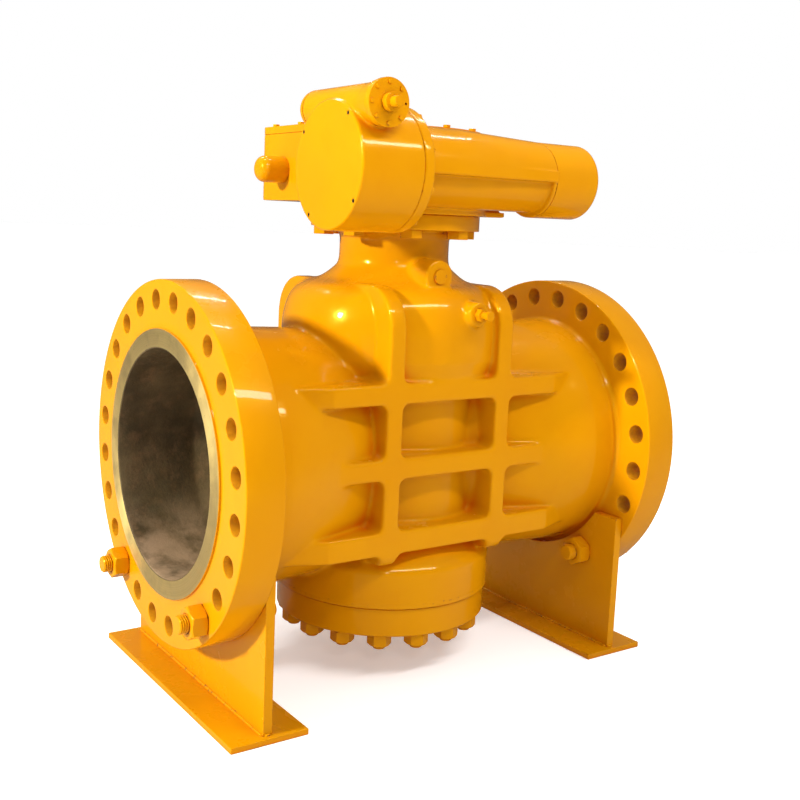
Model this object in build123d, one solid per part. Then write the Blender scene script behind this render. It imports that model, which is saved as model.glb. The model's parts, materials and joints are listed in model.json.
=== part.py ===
from build123d import *
import os
from math import cos, radians, sin

# An inverted, lubricated plug valve for a DN 600 (24 inch) class 600 pipeline.
# A double worm gear operator stands on the neck. Two flat supports carry the valve.
# Everything is in millimetres. X runs along the pipe, Z is up and Z = 0 is the floor.
# The stem stands on the Z axis, and the input shaft points towards -Y.

# ---- Sizes of the pipe ends (standard 24 inch class 600 raised-face flanges)
BORE_Z = 612.0
FACE_X = 698.5
RAISED_FACE = 6.4
RAISED_FACE_R = 346.1
FLANGE_THICK = 101.6
FLANGE_R = 470.0
FLANGE_HOLES = 24
FLANGE_HOLE_R = {-1: 26.0, 1: 26.3}
FLANGE_PITCH_R = 419.1
BORE_R = 295.0
FLANGE_BACK_X = FACE_X - RAISED_FACE - FLANGE_THICK

# ---- Sizes of the cast body
NOZZLE_R = 347.0
NOZZLE_INNER_X = 500.0
WAIST_X = 150.0
WAIST_HALF_Y = 232.0
WAIST_HALF_Z = 335.0
RIB_Y = 300.0
RIB_ROOT_R = 20.0
BULKHEAD_X = (155.0, 205.0)
BULKHEAD_TOP = BORE_Z + 470.0
BULKHEAD_FOOT = BORE_Z - 265.0
BULKHEAD_TOP_R = 110.0
BULKHEAD_FOOT_R = 30.0
RIB_HALF_LENGTH = 480.0
RIB_FADE_X = 365.0
RIB_END_Y = 254.0
RIB_BANDS = ((169.0, 223.0), (-31.0, 26.0), (-232.0, -170.0))
CHAMBER_R = 250.0
SHOULDER_R = 312.0
NECK_R = 155.0
SPLIT_Z = BORE_Z - 395.0
BOSS_TOP_Z = BORE_Z - 293.0
TOP_FLANGE_Z = (BORE_Z + 616.0, BORE_Z + 658.0)
TOP_FLANGE_R = 237.5
PORT_X = 165.0
PORT_HALF_Y = 118.0
PORT_HALF_Z = 228.0

# ---- Sizes of the plug, the stem and what seals them
PLUG_BOTTOM_Z = BORE_Z - 290.0
PLUG_TOP_Z = BORE_Z + 290.0
PLUG_BOTTOM_R = 206.0
PLUG_TOP_R = 174.0
PLUG_GAP = 0.06
COVER_BORE_R = 212.0
TONGUE_LENGTH = 150.0
TONGUE_WIDTH = 50.0
TONGUE_HEIGHT = 20.0
COUPLING_R = 95.0
COUPLING_Z = (PLUG_TOP_Z + 1.0, PLUG_TOP_Z + 47.0)
COUPLING_POCKET_R = 106.0
STEM_COLLAR_R = 98.0
STEM_COLLAR_Z = (PLUG_TOP_Z + 48.0, PLUG_TOP_Z + 78.0)
THRUST_WASHER_THICK = 6.0
COUPLING_POCKET_TOP = STEM_COLLAR_Z[1] + THRUST_WASHER_THICK + 0.1
STEM_R = 70.0
STEM_TOP_Z = BORE_Z + 850.0
STEM_BORE_R = 71.0
STEM_BUSH_R = 84.0
STEM_BUSH_Z = (BORE_Z + 400.0, BORE_Z + 500.0)
PACKING_R = 95.0
PACKING_RING = 20.0
PACKING_RINGS = 4
STUFFING_BOX_Z = BORE_Z + 520.0
RUNNING_GAP = 0.05

# ---- Sizes of the gland
GLAND_RECESS_R = 150.0
GLAND_RECESS_Z = BORE_Z + 630.0
GLAND_PLATE_R = 140.0
GLAND_PLATE_Z = (GLAND_RECESS_Z + 2.0, GLAND_RECESS_Z + 20.0)
GLAND_SCREWS = 6
GLAND_PITCH_R = 120.0
GLAND_HOLE_R = 9.0

# ---- Sizes of the bottom cover and the plug adjuster
COVER_R = 304.0
COVER_BOTTOM_Z = BORE_Z - 475.0
COVER_SPIGOT_TOP = BORE_Z - 330.0
GASKET_R = (222.0, 244.0)
GASKET_THICK = 4.5
COVER_STUDS = 16
COVER_PITCH_R = 265.0
COVER_STUD_R = 18.0
COVER_STUD_END_Z = BORE_Z - 519.0
COVER_STUD_DEPTH = 68.0
HEAVY_NUT_FLATS = 58.0
HEAVY_NUT_HEIGHT = 34.0
BALL_R = 26.0
ADJUSTER_R = 34.0
ADJUSTER_CAP_FLATS = 84.0
ADJUSTER_CAP_Z = (BORE_Z - 548.0, COVER_BOTTOM_Z)

# ---- Sizes of the supports
FOOT_CENTRE_X = 578.0
FOOT_HALF_X = 105.0
FOOT_HALF_Y = 405.0
FOOT_THICK = 16.0
WEB_THICK = 25.0
WEB_HALF_Y = 388.0
WEB_TOP_Z = BORE_Z - 204.0
SADDLE_R = 358.0
SUPPORT_STUD_R = 24.0
SUPPORT_STUD_ANGLE = 37.5
SUPPORT_NUT_FLATS = 75.0
SUPPORT_NUT_HEIGHT = 42.0
SUPPORT_STUD_END = 24.0

# ---- Sizes of the gear operator
OPERATOR_BOLTS = 8
OPERATOR_PITCH_R = 203.0
OPERATOR_BOLT_R = 18.0
OPERATOR_BOLT_FLATS = 55.0
OPERATOR_BOLT_HEAD = 22.5
OPERATOR_BOLT_DEPTH = 34.0
CASE_BOTTOM_Z = TOP_FLANGE_Z[1]
CASE_FLOOR_Z = BORE_Z + 700.0
CASE_RIM_Z = BORE_Z + 865.0
CASE_TOP_Z = BORE_Z + 885.0
CASE_HALF_X = 285.0
CASE_BACK_Y = 284.0
CASE_FRONT_Y = -134.0
CASE_UNDERSIDE_Z = BORE_Z + 681.0
CASE_CORNER_R = 34.0
LEDGE_X = (-160.0, 273.0)
LID_SCREW_INSET = 16.0
PAD_R = 255.0
WORM_Y = -250.0
WORM_Z = BORE_Z + 764.0
BARREL_TOP_R = 116.0
BARREL_LOW_R = 89.0
BARREL_END_R = 103.0
BARREL_LEFT_X = -170.0
BARREL_TAPER_X = 0.0
BARREL_RIGHT_X = 283.0
END_CAP_X = 440.0
END_CAP_DOME = 12.0
BAND_Z = (BORE_Z + 757.0, BORE_Z + 787.0)
BAND_FRONT_Y = -358.0
COVER_DISC_R = 232.0
COVER_SCREW_R = 6.0
CAVITY_HALF_X = 252.0
CAVITY_Y = (-110.0, 251.0)
CAVITY_R = 205.0
WHEEL_R = 197.5
WHEEL_TEETH = 40
WHEEL_TOOTH_DEPTH = 14.0
WHEEL_Z = (WORM_Z - 45.0, WORM_Z + 45.0)
WHEEL_HUB_R = 95.0
WHEEL_HUB_Z = (CASE_BOTTOM_Z + 4.0, CASE_RIM_Z - 4.0)
WHEEL_BUSH_R = 110.0
LUG_ANGLE = 135.0
LUG_R = 231.0
LUG_HALF_WIDTH = 22.0
STOP_Y = 145.0
STOP_SCREW_R = 15.0
STOP_CAP_R = 36.0
STOP_CAP_END = 366.0
STOP_TIP_X = 181.0
WORM_R = 52.2
WORM_HALF_LENGTH = 115.0
WORM_SHAFT_R = 30.0
WORM_BEARING_R = 62.0
CAP_SCREWS = 8

# ---- Sizes of the first reduction and its input shaft
DISC_R = 158.0
DISC_X = (-381.0, -200.0)
DISC_FLANGE_X = (-200.0, -170.0)
DISC_WALL = 16.0
DISC_CAVITY_R = 134.0
DISC_SCREW_ANGLES = (80.0, 120.0, 160.0, 200.0, 240.0, 280.0)
DISC_SCREW_PITCH_R = 146.0
INPUT_X = -324.0
INPUT_Z = BORE_Z + 908.0
INPUT_TUBE_R = 50.0
INPUT_CAP_R = 57.0
INPUT_CAP_HOLE_R = 3.2
INPUT_BORE_R = 38.0
INPUT_TUBE_Y = (-409.0, -107.0)
INPUT_CAP_Y = (-423.0, -409.0)
INPUT_FLARE_Y = (-409.0, -360.0)
INPUT_WORM_R = 28.0
INPUT_SHAFT_R = 18.0
INPUT_COLLAR_R = 22.0
INPUT_TIP_R = 13.0
INPUT_TIP_Y = -467.0
FIRST_WHEEL_R = 115.8
FIRST_WHEEL_TEETH = 48
FIRST_WHEEL_TOOTH_DEPTH = 5.0
FIRST_WHEEL_X = (INPUT_X - 24.0, INPUT_X + 24.0)

SMALL = 0.5


def axis_plane(axis, start, across):
    """The plane whose normal is the given axis, at a start and two cross positions."""
    a, b = across
    if axis == "X":
        return Plane(origin=(start, a, b), x_dir=(0, 1, 0), z_dir=(1, 0, 0))
    if axis == "Y":
        return Plane(origin=(a, start, b), x_dir=(1, 0, 0), z_dir=(0, 1, 0))
    return Plane(origin=(a, b, start), x_dir=(1, 0, 0), z_dir=(0, 0, 1))


def rod(axis, radius, start, end, across=(0.0, 0.0)):
    """A cylinder along one axis from start to end."""
    return Solid.make_cylinder(radius, end - start, axis_plane(axis, start, across))


def ring(axis, outer, inner, start, end, across=(0.0, 0.0)):
    """A tube along one axis from start to end."""
    return rod(axis, outer, start, end, across) - rod(axis, inner, start - 1, end + 1, across)


def cone(axis, start_radius, end_radius, start, end, across=(0.0, 0.0)):
    """A cone frustum along one axis from start to end."""
    plane = axis_plane(axis, start, across)
    return Solid.make_cone(start_radius, end_radius, end - start, plane)


def block(x, y, z):
    """A box between two positions on each axis."""
    plane = Plane(origin=(x[0], y[0], z[0]))
    return Solid.make_box(x[1] - x[0], y[1] - y[0], z[1] - z[0], plane)


def hexagon(axis, flats, start, end, across=(0.0, 0.0)):
    """A hexagonal prism with the given width across flats."""
    sketch = axis_plane(axis, start, across) * RegularPolygon(flats / 2, 6, major_radius=False)
    return extrude(sketch, amount=end - start).solid()


def around(count, pitch_r, first=0.0):
    """Positions of equally spaced items on a circle, as two coordinates."""
    angles = [radians(first + i * 360.0 / count) for i in range(count)]
    return [(pitch_r * cos(a), pitch_r * sin(a)) for a in angles]


def cut_all(solid, tools):
    """Take several tools out of one solid."""
    for tool in tools:
        solid = solid - tool
    return solid


def save(name, shape):
    """Write one named piece, or one group of identical pieces, as a STEP file."""
    solids = shape if isinstance(shape, list) else [shape]
    whole = [piece for item in solids for piece in item.solids()]
    export = whole[0] if len(whole) == 1 else Compound(children=whole)
    export_step(export, f"parts/{name}.step")


# ---------------------------------------------------------------- cast body
def flange_positions():
    """Cross positions (Y, Z) of the bolt holes, straddling the vertical centre line."""
    half_step = 180.0 / FLANGE_HOLES
    return [(y, z + BORE_Z) for y, z in around(FLANGE_HOLES, FLANGE_PITCH_R, half_step)]


def support_positions():
    """Cross positions (Y, Z) of the flange holes that hold the supports."""
    y = FLANGE_PITCH_R * sin(radians(SUPPORT_STUD_ANGLE))
    z = BORE_Z - FLANGE_PITCH_R * cos(radians(SUPPORT_STUD_ANGLE))
    return [(-y, z), (y, z)]


def mirrored(shape):
    """The shape and its mirror image on the other side of the stem."""
    return shape + shape.mirror(Plane.YZ)


def pipe_end():
    """One flange with its raised face and the round nozzle behind it."""
    axis = (0.0, BORE_Z)
    flange = rod("X", FLANGE_R, FLANGE_BACK_X, FACE_X - RAISED_FACE, axis)
    flange = chamfer(flange.edges().filter_by(GeomType.CIRCLE), 3.0)
    face = rod("X", RAISED_FACE_R, FACE_X - RAISED_FACE - 1, FACE_X, axis)
    nozzle = rod("X", NOZZLE_R, NOZZLE_INNER_X, FLANGE_BACK_X, axis)
    root = cone("X", NOZZLE_R, NOZZLE_R + 14.0, FLANGE_BACK_X - 20.0, FLANGE_BACK_X, axis)
    return flange + face + nozzle + root


def oval(x, half_y, half_z):
    """An upright oval section across the pipe."""
    place = Plane(origin=(x, 0, BORE_Z), x_dir=(0, 0, 1), z_dir=(1, 0, 0))
    return place * Ellipse(half_z, half_y)


def tapered_nozzle():
    """The part of a nozzle that changes from round to tall and narrow at the plug."""
    round_end = oval(NOZZLE_INNER_X + 2, NOZZLE_R - SMALL, NOZZLE_R - SMALL / 2)
    middle = oval(330.0, 296.0, 342.0)
    tall_end = oval(WAIST_X, WAIST_HALF_Y, WAIST_HALF_Z)
    core_end = oval(0.0, WAIST_HALF_Y - 15.0, WAIST_HALF_Z - 5.0)
    return loft([core_end, tall_end, middle, round_end])


def tower():
    """The chamber round the plug with the domed shoulder, the neck and the bottom boss."""
    low = BORE_Z + RIB_BANDS[2][0]
    high = BORE_Z + RIB_BANDS[0][1]
    side = Polyline(
        (0, SPLIT_Z),
        (SHOULDER_R, SPLIT_Z),
        (SHOULDER_R, BOSS_TOP_Z),
        (SHOULDER_R - 14, BOSS_TOP_Z + 16),
        (CHAMBER_R, low),
        (CHAMBER_R, high - 48),
        (RIB_Y - 3, high - 2),
        (SHOULDER_R, high + 46),
        (SHOULDER_R, BORE_Z + 335),
    )
    dome = Spline(
        (SHOULDER_R, BORE_Z + 335),
        (304, BORE_Z + 392),
        (283, BORE_Z + 438),
        (250, BORE_Z + 462),
        (205, BORE_Z + 477),
        (170, BORE_Z + 503),
        (NECK_R, BORE_Z + 545),
        tangents=[(0, 1), (0, 1)],
    )
    neck = Polyline(
        (NECK_R, BORE_Z + 545),
        (NECK_R, BORE_Z + 590),
        (NECK_R + 12, TOP_FLANGE_Z[0]),
        (TOP_FLANGE_R, TOP_FLANGE_Z[0]),
        (TOP_FLANGE_R, TOP_FLANGE_Z[1]),
        (0, TOP_FLANGE_Z[1]),
        (0, SPLIT_Z),
    )
    profile = make_face(Plane.XZ * (side + dome + neck))
    return revolve(profile, Axis.Z).solid()


def rib_lattice():
    """The flat ribs and the two arched bulkheads that stiffen the body."""
    face = Sketch()
    for low, high in RIB_BANDS:
        middle = (low + high) / 2
        face += Pos(0, middle) * Rectangle(2 * RIB_HALF_LENGTH, high - low)
    width = BULKHEAD_X[1] - BULKHEAD_X[0]
    height = BULKHEAD_TOP - BULKHEAD_FOOT
    middle = (BULKHEAD_TOP + BULKHEAD_FOOT) / 2 - BORE_Z
    for side in (-1, 1):
        centre = side * (BULKHEAD_X[0] + BULKHEAD_X[1]) / 2
        face += Pos(centre, middle) * Rectangle(width, height)
    inner = face.vertices().filter_by(lambda v: abs(v.X) < RIB_HALF_LENGTH - 1)
    inner = inner.filter_by(lambda v: BULKHEAD_FOOT - BORE_Z + 1 < v.Y < 400)
    face = fillet(inner, RIB_ROOT_R)
    upright = Plane(origin=(0, -RIB_Y, BORE_Z), x_dir=(1, 0, 0), z_dir=(0, -1, 0))
    plates = extrude(upright * face, amount=-2 * RIB_Y)
    return plates & rib_envelope()


def rib_envelope():
    """The outline of the bulkheads seen along the pipe, as a long bar."""
    middle = (BULKHEAD_TOP + BULKHEAD_FOOT) / 2
    section = Rectangle(2 * RIB_Y, BULKHEAD_TOP - BULKHEAD_FOOT)
    top = section.vertices().group_by(Axis.Y)[-1]
    section = fillet(top, BULKHEAD_TOP_R)
    foot = section.vertices().group_by(Axis.Y)[0]
    section = fillet(foot, BULKHEAD_FOOT_R)
    start = Plane(origin=(-RIB_HALF_LENGTH, 0, middle), x_dir=(0, 1, 0), z_dir=(1, 0, 0))
    bar = extrude(start * section, amount=2 * RIB_HALF_LENGTH)
    return bar & faded_ends()


def faded_ends():
    """The plan of the ribs, whose ends slope in until the nozzles swallow them."""
    corners = []
    for x, y in ((1, -1), (1, 1), (-1, 1), (-1, -1)):
        tip = (x * (RIB_HALF_LENGTH + 1), y * RIB_END_Y)
        bend = (x * RIB_FADE_X, y * (RIB_Y + 1))
        corners += [bend, tip] if x * y < 0 else [tip, bend]
    plan = make_face(Polyline(*corners, close=True))
    return extrude(Plane.XY.offset(SPLIT_Z) * plan, amount=BULKHEAD_TOP - SPLIT_Z + 1)


def passage():
    """The flow passage of one side, from the pipe bore to the port of the plug seat."""
    axis = (0.0, BORE_Z)
    bore = rod("X", BORE_R, 470.0, FACE_X + 1, axis)
    taper = loft([
        oval(PORT_X - 5, PORT_HALF_Y, PORT_HALF_Z),
        oval(320.0, 218.0, 266.0),
        oval(472.0, BORE_R - SMALL, BORE_R - SMALL / 2),
    ])
    port = extrude(oval(0.0, PORT_HALF_Y, PORT_HALF_Z), amount=PORT_X)
    return bore + taper + port


def seat_radius(z):
    """Radius of the plug's taper at a height."""
    share = (z - PLUG_BOTTOM_Z) / (PLUG_TOP_Z - PLUG_BOTTOM_Z)
    return PLUG_BOTTOM_R + share * (PLUG_TOP_R - PLUG_BOTTOM_R)


def body_cavities():
    """Everything machined out along the stem's axis, from the bottom up."""
    seat_low = PLUG_BOTTOM_Z - 6.0
    seat_high = PLUG_TOP_Z + 6.0
    gap = PLUG_GAP
    seat = cone("Z", seat_radius(seat_low) + gap, seat_radius(seat_high) + gap, seat_low, seat_high)
    return [
        rod("Z", COVER_BORE_R, SPLIT_Z - 1, seat_low),
        seat,
        rod("Z", COUPLING_POCKET_R, seat_high - 1, COUPLING_POCKET_TOP),
        rod("Z", STEM_BORE_R, COUPLING_POCKET_TOP - 1, STUFFING_BOX_Z + 1),
        rod("Z", STEM_BUSH_R, *STEM_BUSH_Z),
        rod("Z", PACKING_R, STUFFING_BOX_Z, GLAND_RECESS_Z + 1),
        rod("Z", GLAND_RECESS_R, GLAND_RECESS_Z, TOP_FLANGE_Z[1] + 1),
    ]


def body_holes():
    """Bolt holes in the end flanges, the top flange, the gland seat and the bottom boss."""
    holes = []
    for side in (-1, 1):
        start, end = sorted((side * (FLANGE_BACK_X - 1), side * (FACE_X + 1)))
        holes += [rod("X", FLANGE_HOLE_R[side], start, end, at) for at in flange_positions()]
    for at in around(OPERATOR_BOLTS, OPERATOR_PITCH_R, 22.5):
        holes.append(rod("Z", OPERATOR_BOLT_R + 1.5, TOP_FLANGE_Z[0] - 1, TOP_FLANGE_Z[1] + 1, at))
    for at in around(GLAND_SCREWS, GLAND_PITCH_R):
        holes.append(rod("Z", 8.0, GLAND_RECESS_Z - 30, GLAND_RECESS_Z + 1, at))
    for at in around(COVER_STUDS, COVER_PITCH_R, 11.25):
        holes.append(rod("Z", COVER_STUD_R, SPLIT_Z - 1, SPLIT_Z + COVER_STUD_DEPTH, at))
    return holes


BODY_FITTING = (62.0, BORE_Z + 400.0)
NECK_FITTING = (-14.0, BORE_Z + 495.0)
FITTING_BORE_R = 10.0


def fitting_bosses():
    """Round bosses on the near side that take the two sealant fittings."""
    body_boss = rod("Y", 34.0, -322.0, -200.0, BODY_FITTING)
    neck_boss = rod("Y", 45.0, -240.0, -60.0, NECK_FITTING)
    return body_boss + neck_boss


def fitting_holes():
    """Injection holes from the two bosses to the plug chamber and the stem bore."""
    return [
        rod("Y", FITTING_BORE_R, -323.0, -220.0, BODY_FITTING),
        rod("Y", FITTING_BORE_R, -241.0, -120.0, NECK_FITTING),
    ]


def make_body():
    """The cast body in one piece."""
    solid = mirrored(pipe_end()) + mirrored(tapered_nozzle()) + tower()
    solid = solid + rib_lattice() + fitting_bosses()
    solid = cut_all(solid, body_cavities())
    solid = solid - mirrored(passage())
    return cut_all(solid, body_holes() + fitting_holes())


# ---------------------------------------------------------------- plug and stem
def make_plug():
    """The tapered plug with its tall port, a drive tongue on top and a ball seat below."""
    solid = cone("Z", PLUG_BOTTOM_R, PLUG_TOP_R, PLUG_BOTTOM_Z, PLUG_TOP_Z)
    window = extrude(oval(-260.0, PORT_HALF_Y, PORT_HALF_Z), amount=520.0)
    half = (TONGUE_LENGTH / 2, TONGUE_WIDTH / 2)
    tongue_z = (PLUG_TOP_Z - 1, PLUG_TOP_Z + TONGUE_HEIGHT)
    tongue = block((-half[0], half[0]), (-half[1], half[1]), tongue_z)
    ball_seat = rod("Z", BALL_R + 0.3, PLUG_BOTTOM_Z - 1, PLUG_BOTTOM_Z + 18.0)
    return solid - window + tongue - ball_seat


def make_coupling():
    """The floating disc between plug and stem, with crossed slots."""
    low, high = COUPLING_Z
    gap = 0.1
    half = TONGUE_WIDTH / 2 + gap
    solid = rod("Z", COUPLING_R, low, high)
    lower = block((-100, 100), (-half, half), (low - 1, PLUG_TOP_Z + TONGUE_HEIGHT + SMALL))
    upper = block((-half, half), (-100, 100), (high - TONGUE_HEIGHT - SMALL, high + 1))
    return solid - lower - upper


def make_stem():
    """The stem with its blow-out collar, drive tongue, keyway and indicator pin hole."""
    low, high = STEM_COLLAR_Z
    half = (TONGUE_LENGTH / 2, TONGUE_WIDTH / 2)
    tongue_z = (COUPLING_Z[1] - TONGUE_HEIGHT, low + 1)
    tongue = block((-half[1], half[1]), (-half[0], half[0]), tongue_z)
    solid = rod("Z", STEM_COLLAR_R, low, high) + rod("Z", STEM_R, high - 1, STEM_TOP_Z) + tongue
    return solid - key_seat() - rod("Z", 8.0, STEM_TOP_Z - 30, STEM_TOP_Z + 1)


KEY_HALF_WIDTH = 18.0
KEY_Y = (-82.0, -58.0)
KEY_Z = (CASE_BOTTOM_Z + 30.0, STEM_TOP_Z - 14.0)


def key_seat():
    """The space that the stem's key fills."""
    return block((-KEY_HALF_WIDTH, KEY_HALF_WIDTH), KEY_Y, KEY_Z)


def stem_washer():
    """The thrust washer above the stem's collar."""
    low = STEM_COLLAR_Z[1]
    return ring("Z", STEM_COLLAR_R, STEM_R + SMALL, low + RUNNING_GAP, low + THRUST_WASHER_THICK)


def packing():
    """The packing rings in the stuffing box."""
    rings = []
    for i in range(PACKING_RINGS):
        low = STUFFING_BOX_Z + i * PACKING_RING
        rings.append(ring("Z", PACKING_R, STEM_R + RUNNING_GAP, low, low + PACKING_RING))
    return rings


def make_gland():
    """The gland: a plate with a sleeve that presses on the packing."""
    packed_z = STUFFING_BOX_Z + PACKING_RINGS * PACKING_RING
    sleeve = ring("Z", PACKING_R - SMALL, STEM_R + SMALL, packed_z, GLAND_PLATE_Z[0] + 1)
    plate = ring("Z", GLAND_PLATE_R, STEM_R + SMALL, *GLAND_PLATE_Z)
    spots = around(GLAND_SCREWS, GLAND_PITCH_R)
    low, high = GLAND_PLATE_Z
    holes = [rod("Z", GLAND_HOLE_R, low - 1, high + 1, at) for at in spots]
    return cut_all(plate + sleeve, holes)


def hex_screw(axis, radius, flats, head, seat, tip, across):
    """A hexagon-head screw. Its head sits on the seat, away from the tip."""
    way = 1 if seat > tip else -1
    shank = rod(axis, radius, *sorted((seat, tip)), across)
    return shank + hexagon(axis, flats, *sorted((seat, seat + way * head)), across)


def socket_screw(axis, radius, head_r, seat, tip, across):
    """A socket-head screw. Its head sits on the seat, away from the tip."""
    way = 1 if seat > tip else -1
    head_end = seat + way * 1.8 * radius
    head = rod(axis, head_r, *sorted((seat, head_end)), across)
    shank = rod(axis, radius, *sorted((seat, tip)), across)
    socket = hexagon(axis, 1.6 * radius, *sorted((head_end - way * radius, head_end)), across)
    return head + shank - socket


def gland_screws():
    """The screws that hold the gland plate."""
    tip = GLAND_RECESS_Z - 28.0
    seat = GLAND_PLATE_Z[1]
    spots = around(GLAND_SCREWS, GLAND_PITCH_R)
    return [hex_screw("Z", 8.0, 24.0, 7.0, seat, tip, at) for at in spots]


# ---------------------------------------------------------------- bottom cover
def cover_spots():
    """Positions of the bottom cover's studs."""
    return around(COVER_STUDS, COVER_PITCH_R, 11.25)


def make_cover():
    """The bottom cover with its spigot, gasket groove, stud holes and adjuster thread."""
    solid = rod("Z", COVER_R, COVER_BOTTOM_Z, SPLIT_Z)
    solid = chamfer(solid.edges().filter_by(GeomType.CIRCLE), 4.0)
    solid = solid + rod("Z", COVER_BORE_R - SMALL, SPLIT_Z - 1, COVER_SPIGOT_TOP)
    solid = solid - rod("Z", 190.0, SPLIT_Z, COVER_SPIGOT_TOP + 1)
    solid = solid + rod("Z", 70.0, SPLIT_Z - 1, COVER_SPIGOT_TOP)
    low, high = COVER_BOTTOM_Z - 1, SPLIT_Z + 1
    holes = [rod("Z", COVER_STUD_R + 1.5, low, high, at) for at in cover_spots()]
    holes.append(ring("Z", GASKET_R[1], GASKET_R[0], SPLIT_Z - GASKET_THICK, SPLIT_Z + 1) & rod(
        "Z", COVER_R, SPLIT_Z - GASKET_THICK, SPLIT_Z + 1))
    holes.append(rod("Z", ADJUSTER_R, COVER_BOTTOM_Z - 1, COVER_SPIGOT_TOP + 1))
    return cut_all(solid, holes)


def cover_studs():
    """The stud bolts of the bottom cover."""
    top = SPLIT_Z + COVER_STUD_DEPTH - 4.0
    studs = [rod("Z", COVER_STUD_R, COVER_STUD_END_Z, top, at) for at in cover_spots()]
    return [chamfer(s.edges().filter_by(GeomType.CIRCLE), 2.5) for s in studs]


def hex_nut(axis, flats, bore_r, start, end, across):
    """A hexagon nut with chamfered corners at both ends."""
    prism = hexagon(axis, flats, start, end, across)
    corner = flats / 2 * 1.15
    centre = rod(axis, corner, start, end, across)
    centre = chamfer(centre.edges().filter_by(GeomType.CIRCLE), 3.0)
    return (prism & centre) - rod(axis, bore_r, start - 1, end + 1, across)


def cover_nuts():
    """The nuts of the bottom cover."""
    low = COVER_BOTTOM_Z - HEAVY_NUT_HEIGHT
    high = COVER_BOTTOM_Z
    return [hex_nut("Z", HEAVY_NUT_FLATS, COVER_STUD_R, low, high, at) for at in cover_spots()]


BALL_Z = PLUG_BOTTOM_Z + 18.0 - BALL_R - 0.1
ADJUSTER_TOP = BALL_Z - BALL_R + 8.0


def thrust_ball():
    """The ball that carries the plug on the adjuster."""
    return Pos(0, 0, BALL_Z) * Sphere(BALL_R).solid()


def adjuster():
    """The adjusting screw under the plug, with a cup for the ball."""
    body = rod("Z", ADJUSTER_R, COVER_BOTTOM_Z - 34.0, ADJUSTER_TOP)
    cup = Pos(0, 0, BALL_Z) * Sphere(BALL_R + 0.1).solid()
    socket = hexagon("Z", 36.0, COVER_BOTTOM_Z - 35.0, COVER_BOTTOM_Z - 14.0)
    return body - cup - socket


def adjuster_cap():
    """The hexagonal cap nut, with a blunt point, that locks and covers the adjuster."""
    low, high = ADJUSTER_CAP_Z
    shoulder = low + 24.0
    outside = hexagon("Z", ADJUSTER_CAP_FLATS, shoulder, high)
    point = cone("Z", 18.0, ADJUSTER_CAP_FLATS / 2, low, shoulder)
    return outside + point - rod("Z", ADJUSTER_R, COVER_BOTTOM_Z - 40.0, high + 1)


# ---------------------------------------------------------------- supports
def make_web(side):
    """The upright plate of one support, with a saddle under the nozzle."""
    near = FLANGE_BACK_X - WEB_THICK
    x = sorted((side * near, side * FLANGE_BACK_X))
    plate = block(x, (-WEB_HALF_Y, WEB_HALF_Y), (FOOT_THICK, WEB_TOP_Z))
    saddle = rod("X", SADDLE_R, x[0] - 1, x[1] + 1, (0.0, BORE_Z))
    holes = [rod("X", SUPPORT_STUD_R + 2, x[0] - 1, x[1] + 1, at) for at in support_positions()]
    relief = rod("X", NOZZLE_R + 16, x[0] - 1, x[1] + 1, (0.0, BORE_Z))
    return cut_all(plate, [saddle, relief] + holes)


def make_foot(side):
    """The base plate of one support."""
    x = sorted((side * (FOOT_CENTRE_X - FOOT_HALF_X), side * (FOOT_CENTRE_X + FOOT_HALF_X)))
    return block(x, (-FOOT_HALF_Y, FOOT_HALF_Y), (0.0, FOOT_THICK))


def support_fasteners():
    """The four stud bolts of the supports, and their eight nuts."""
    studs = []
    nuts = []
    near = FLANGE_BACK_X - WEB_THICK
    far = FACE_X - RAISED_FACE
    for side in (-1, 1):
        for at in support_positions():
            reach = SUPPORT_NUT_HEIGHT + SUPPORT_STUD_END
            ends = sorted((side * (near - reach), side * (far + reach)))
            stud = rod("X", SUPPORT_STUD_R, *ends, at)
            studs.append(chamfer(stud.edges().filter_by(GeomType.CIRCLE), 3.0))
            inner = sorted((side * (near - SUPPORT_NUT_HEIGHT), side * near))
            outer = sorted((side * far, side * (far + SUPPORT_NUT_HEIGHT)))
            nuts.append(hex_nut("X", SUPPORT_NUT_FLATS, SUPPORT_STUD_R, *inner, at))
            nuts.append(hex_nut("X", SUPPORT_NUT_FLATS, SUPPORT_STUD_R, *outer, at))
    return studs, nuts


# ---------------------------------------------------------------- gear housing
WORM_AXIS = (WORM_Y, WORM_Z)


def make_barrel():
    """The worm barrel: a wide tapered upper half over a narrower lower half."""
    upper = rod("X", BARREL_TOP_R, BARREL_LEFT_X, BARREL_TAPER_X, WORM_AXIS)
    upper = upper + cone("X", BARREL_TOP_R, BARREL_END_R, BARREL_TAPER_X, BARREL_RIGHT_X, WORM_AXIS)
    length = (BARREL_LEFT_X - 1, BARREL_RIGHT_X + 1)
    top_half = block(length, (-500.0, 0.0), (BAND_Z[0], CASE_TOP_Z + 50))
    lower = rod("X", BARREL_LOW_R, BARREL_LEFT_X, BARREL_RIGHT_X, WORM_AXIS)
    band = block((BARREL_LEFT_X, BARREL_RIGHT_X), (BAND_FRONT_Y, WORM_Y), BAND_Z)
    end_ring = rod("X", BARREL_END_R, BARREL_RIGHT_X - 12, BARREL_RIGHT_X, WORM_AXIS)
    return (upper & top_half) + lower + band + end_ring


def rounded_block(x, y, z, radius):
    """A box with rounded upright corners."""
    centre = ((x[0] + x[1]) / 2, (y[0] + y[1]) / 2)
    section = Pos(*centre) * RectangleRounded(x[1] - x[0], y[1] - y[0], radius)
    return extrude(Plane.XY.offset(z[0]) * section, amount=z[1] - z[0]).solid()


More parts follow.
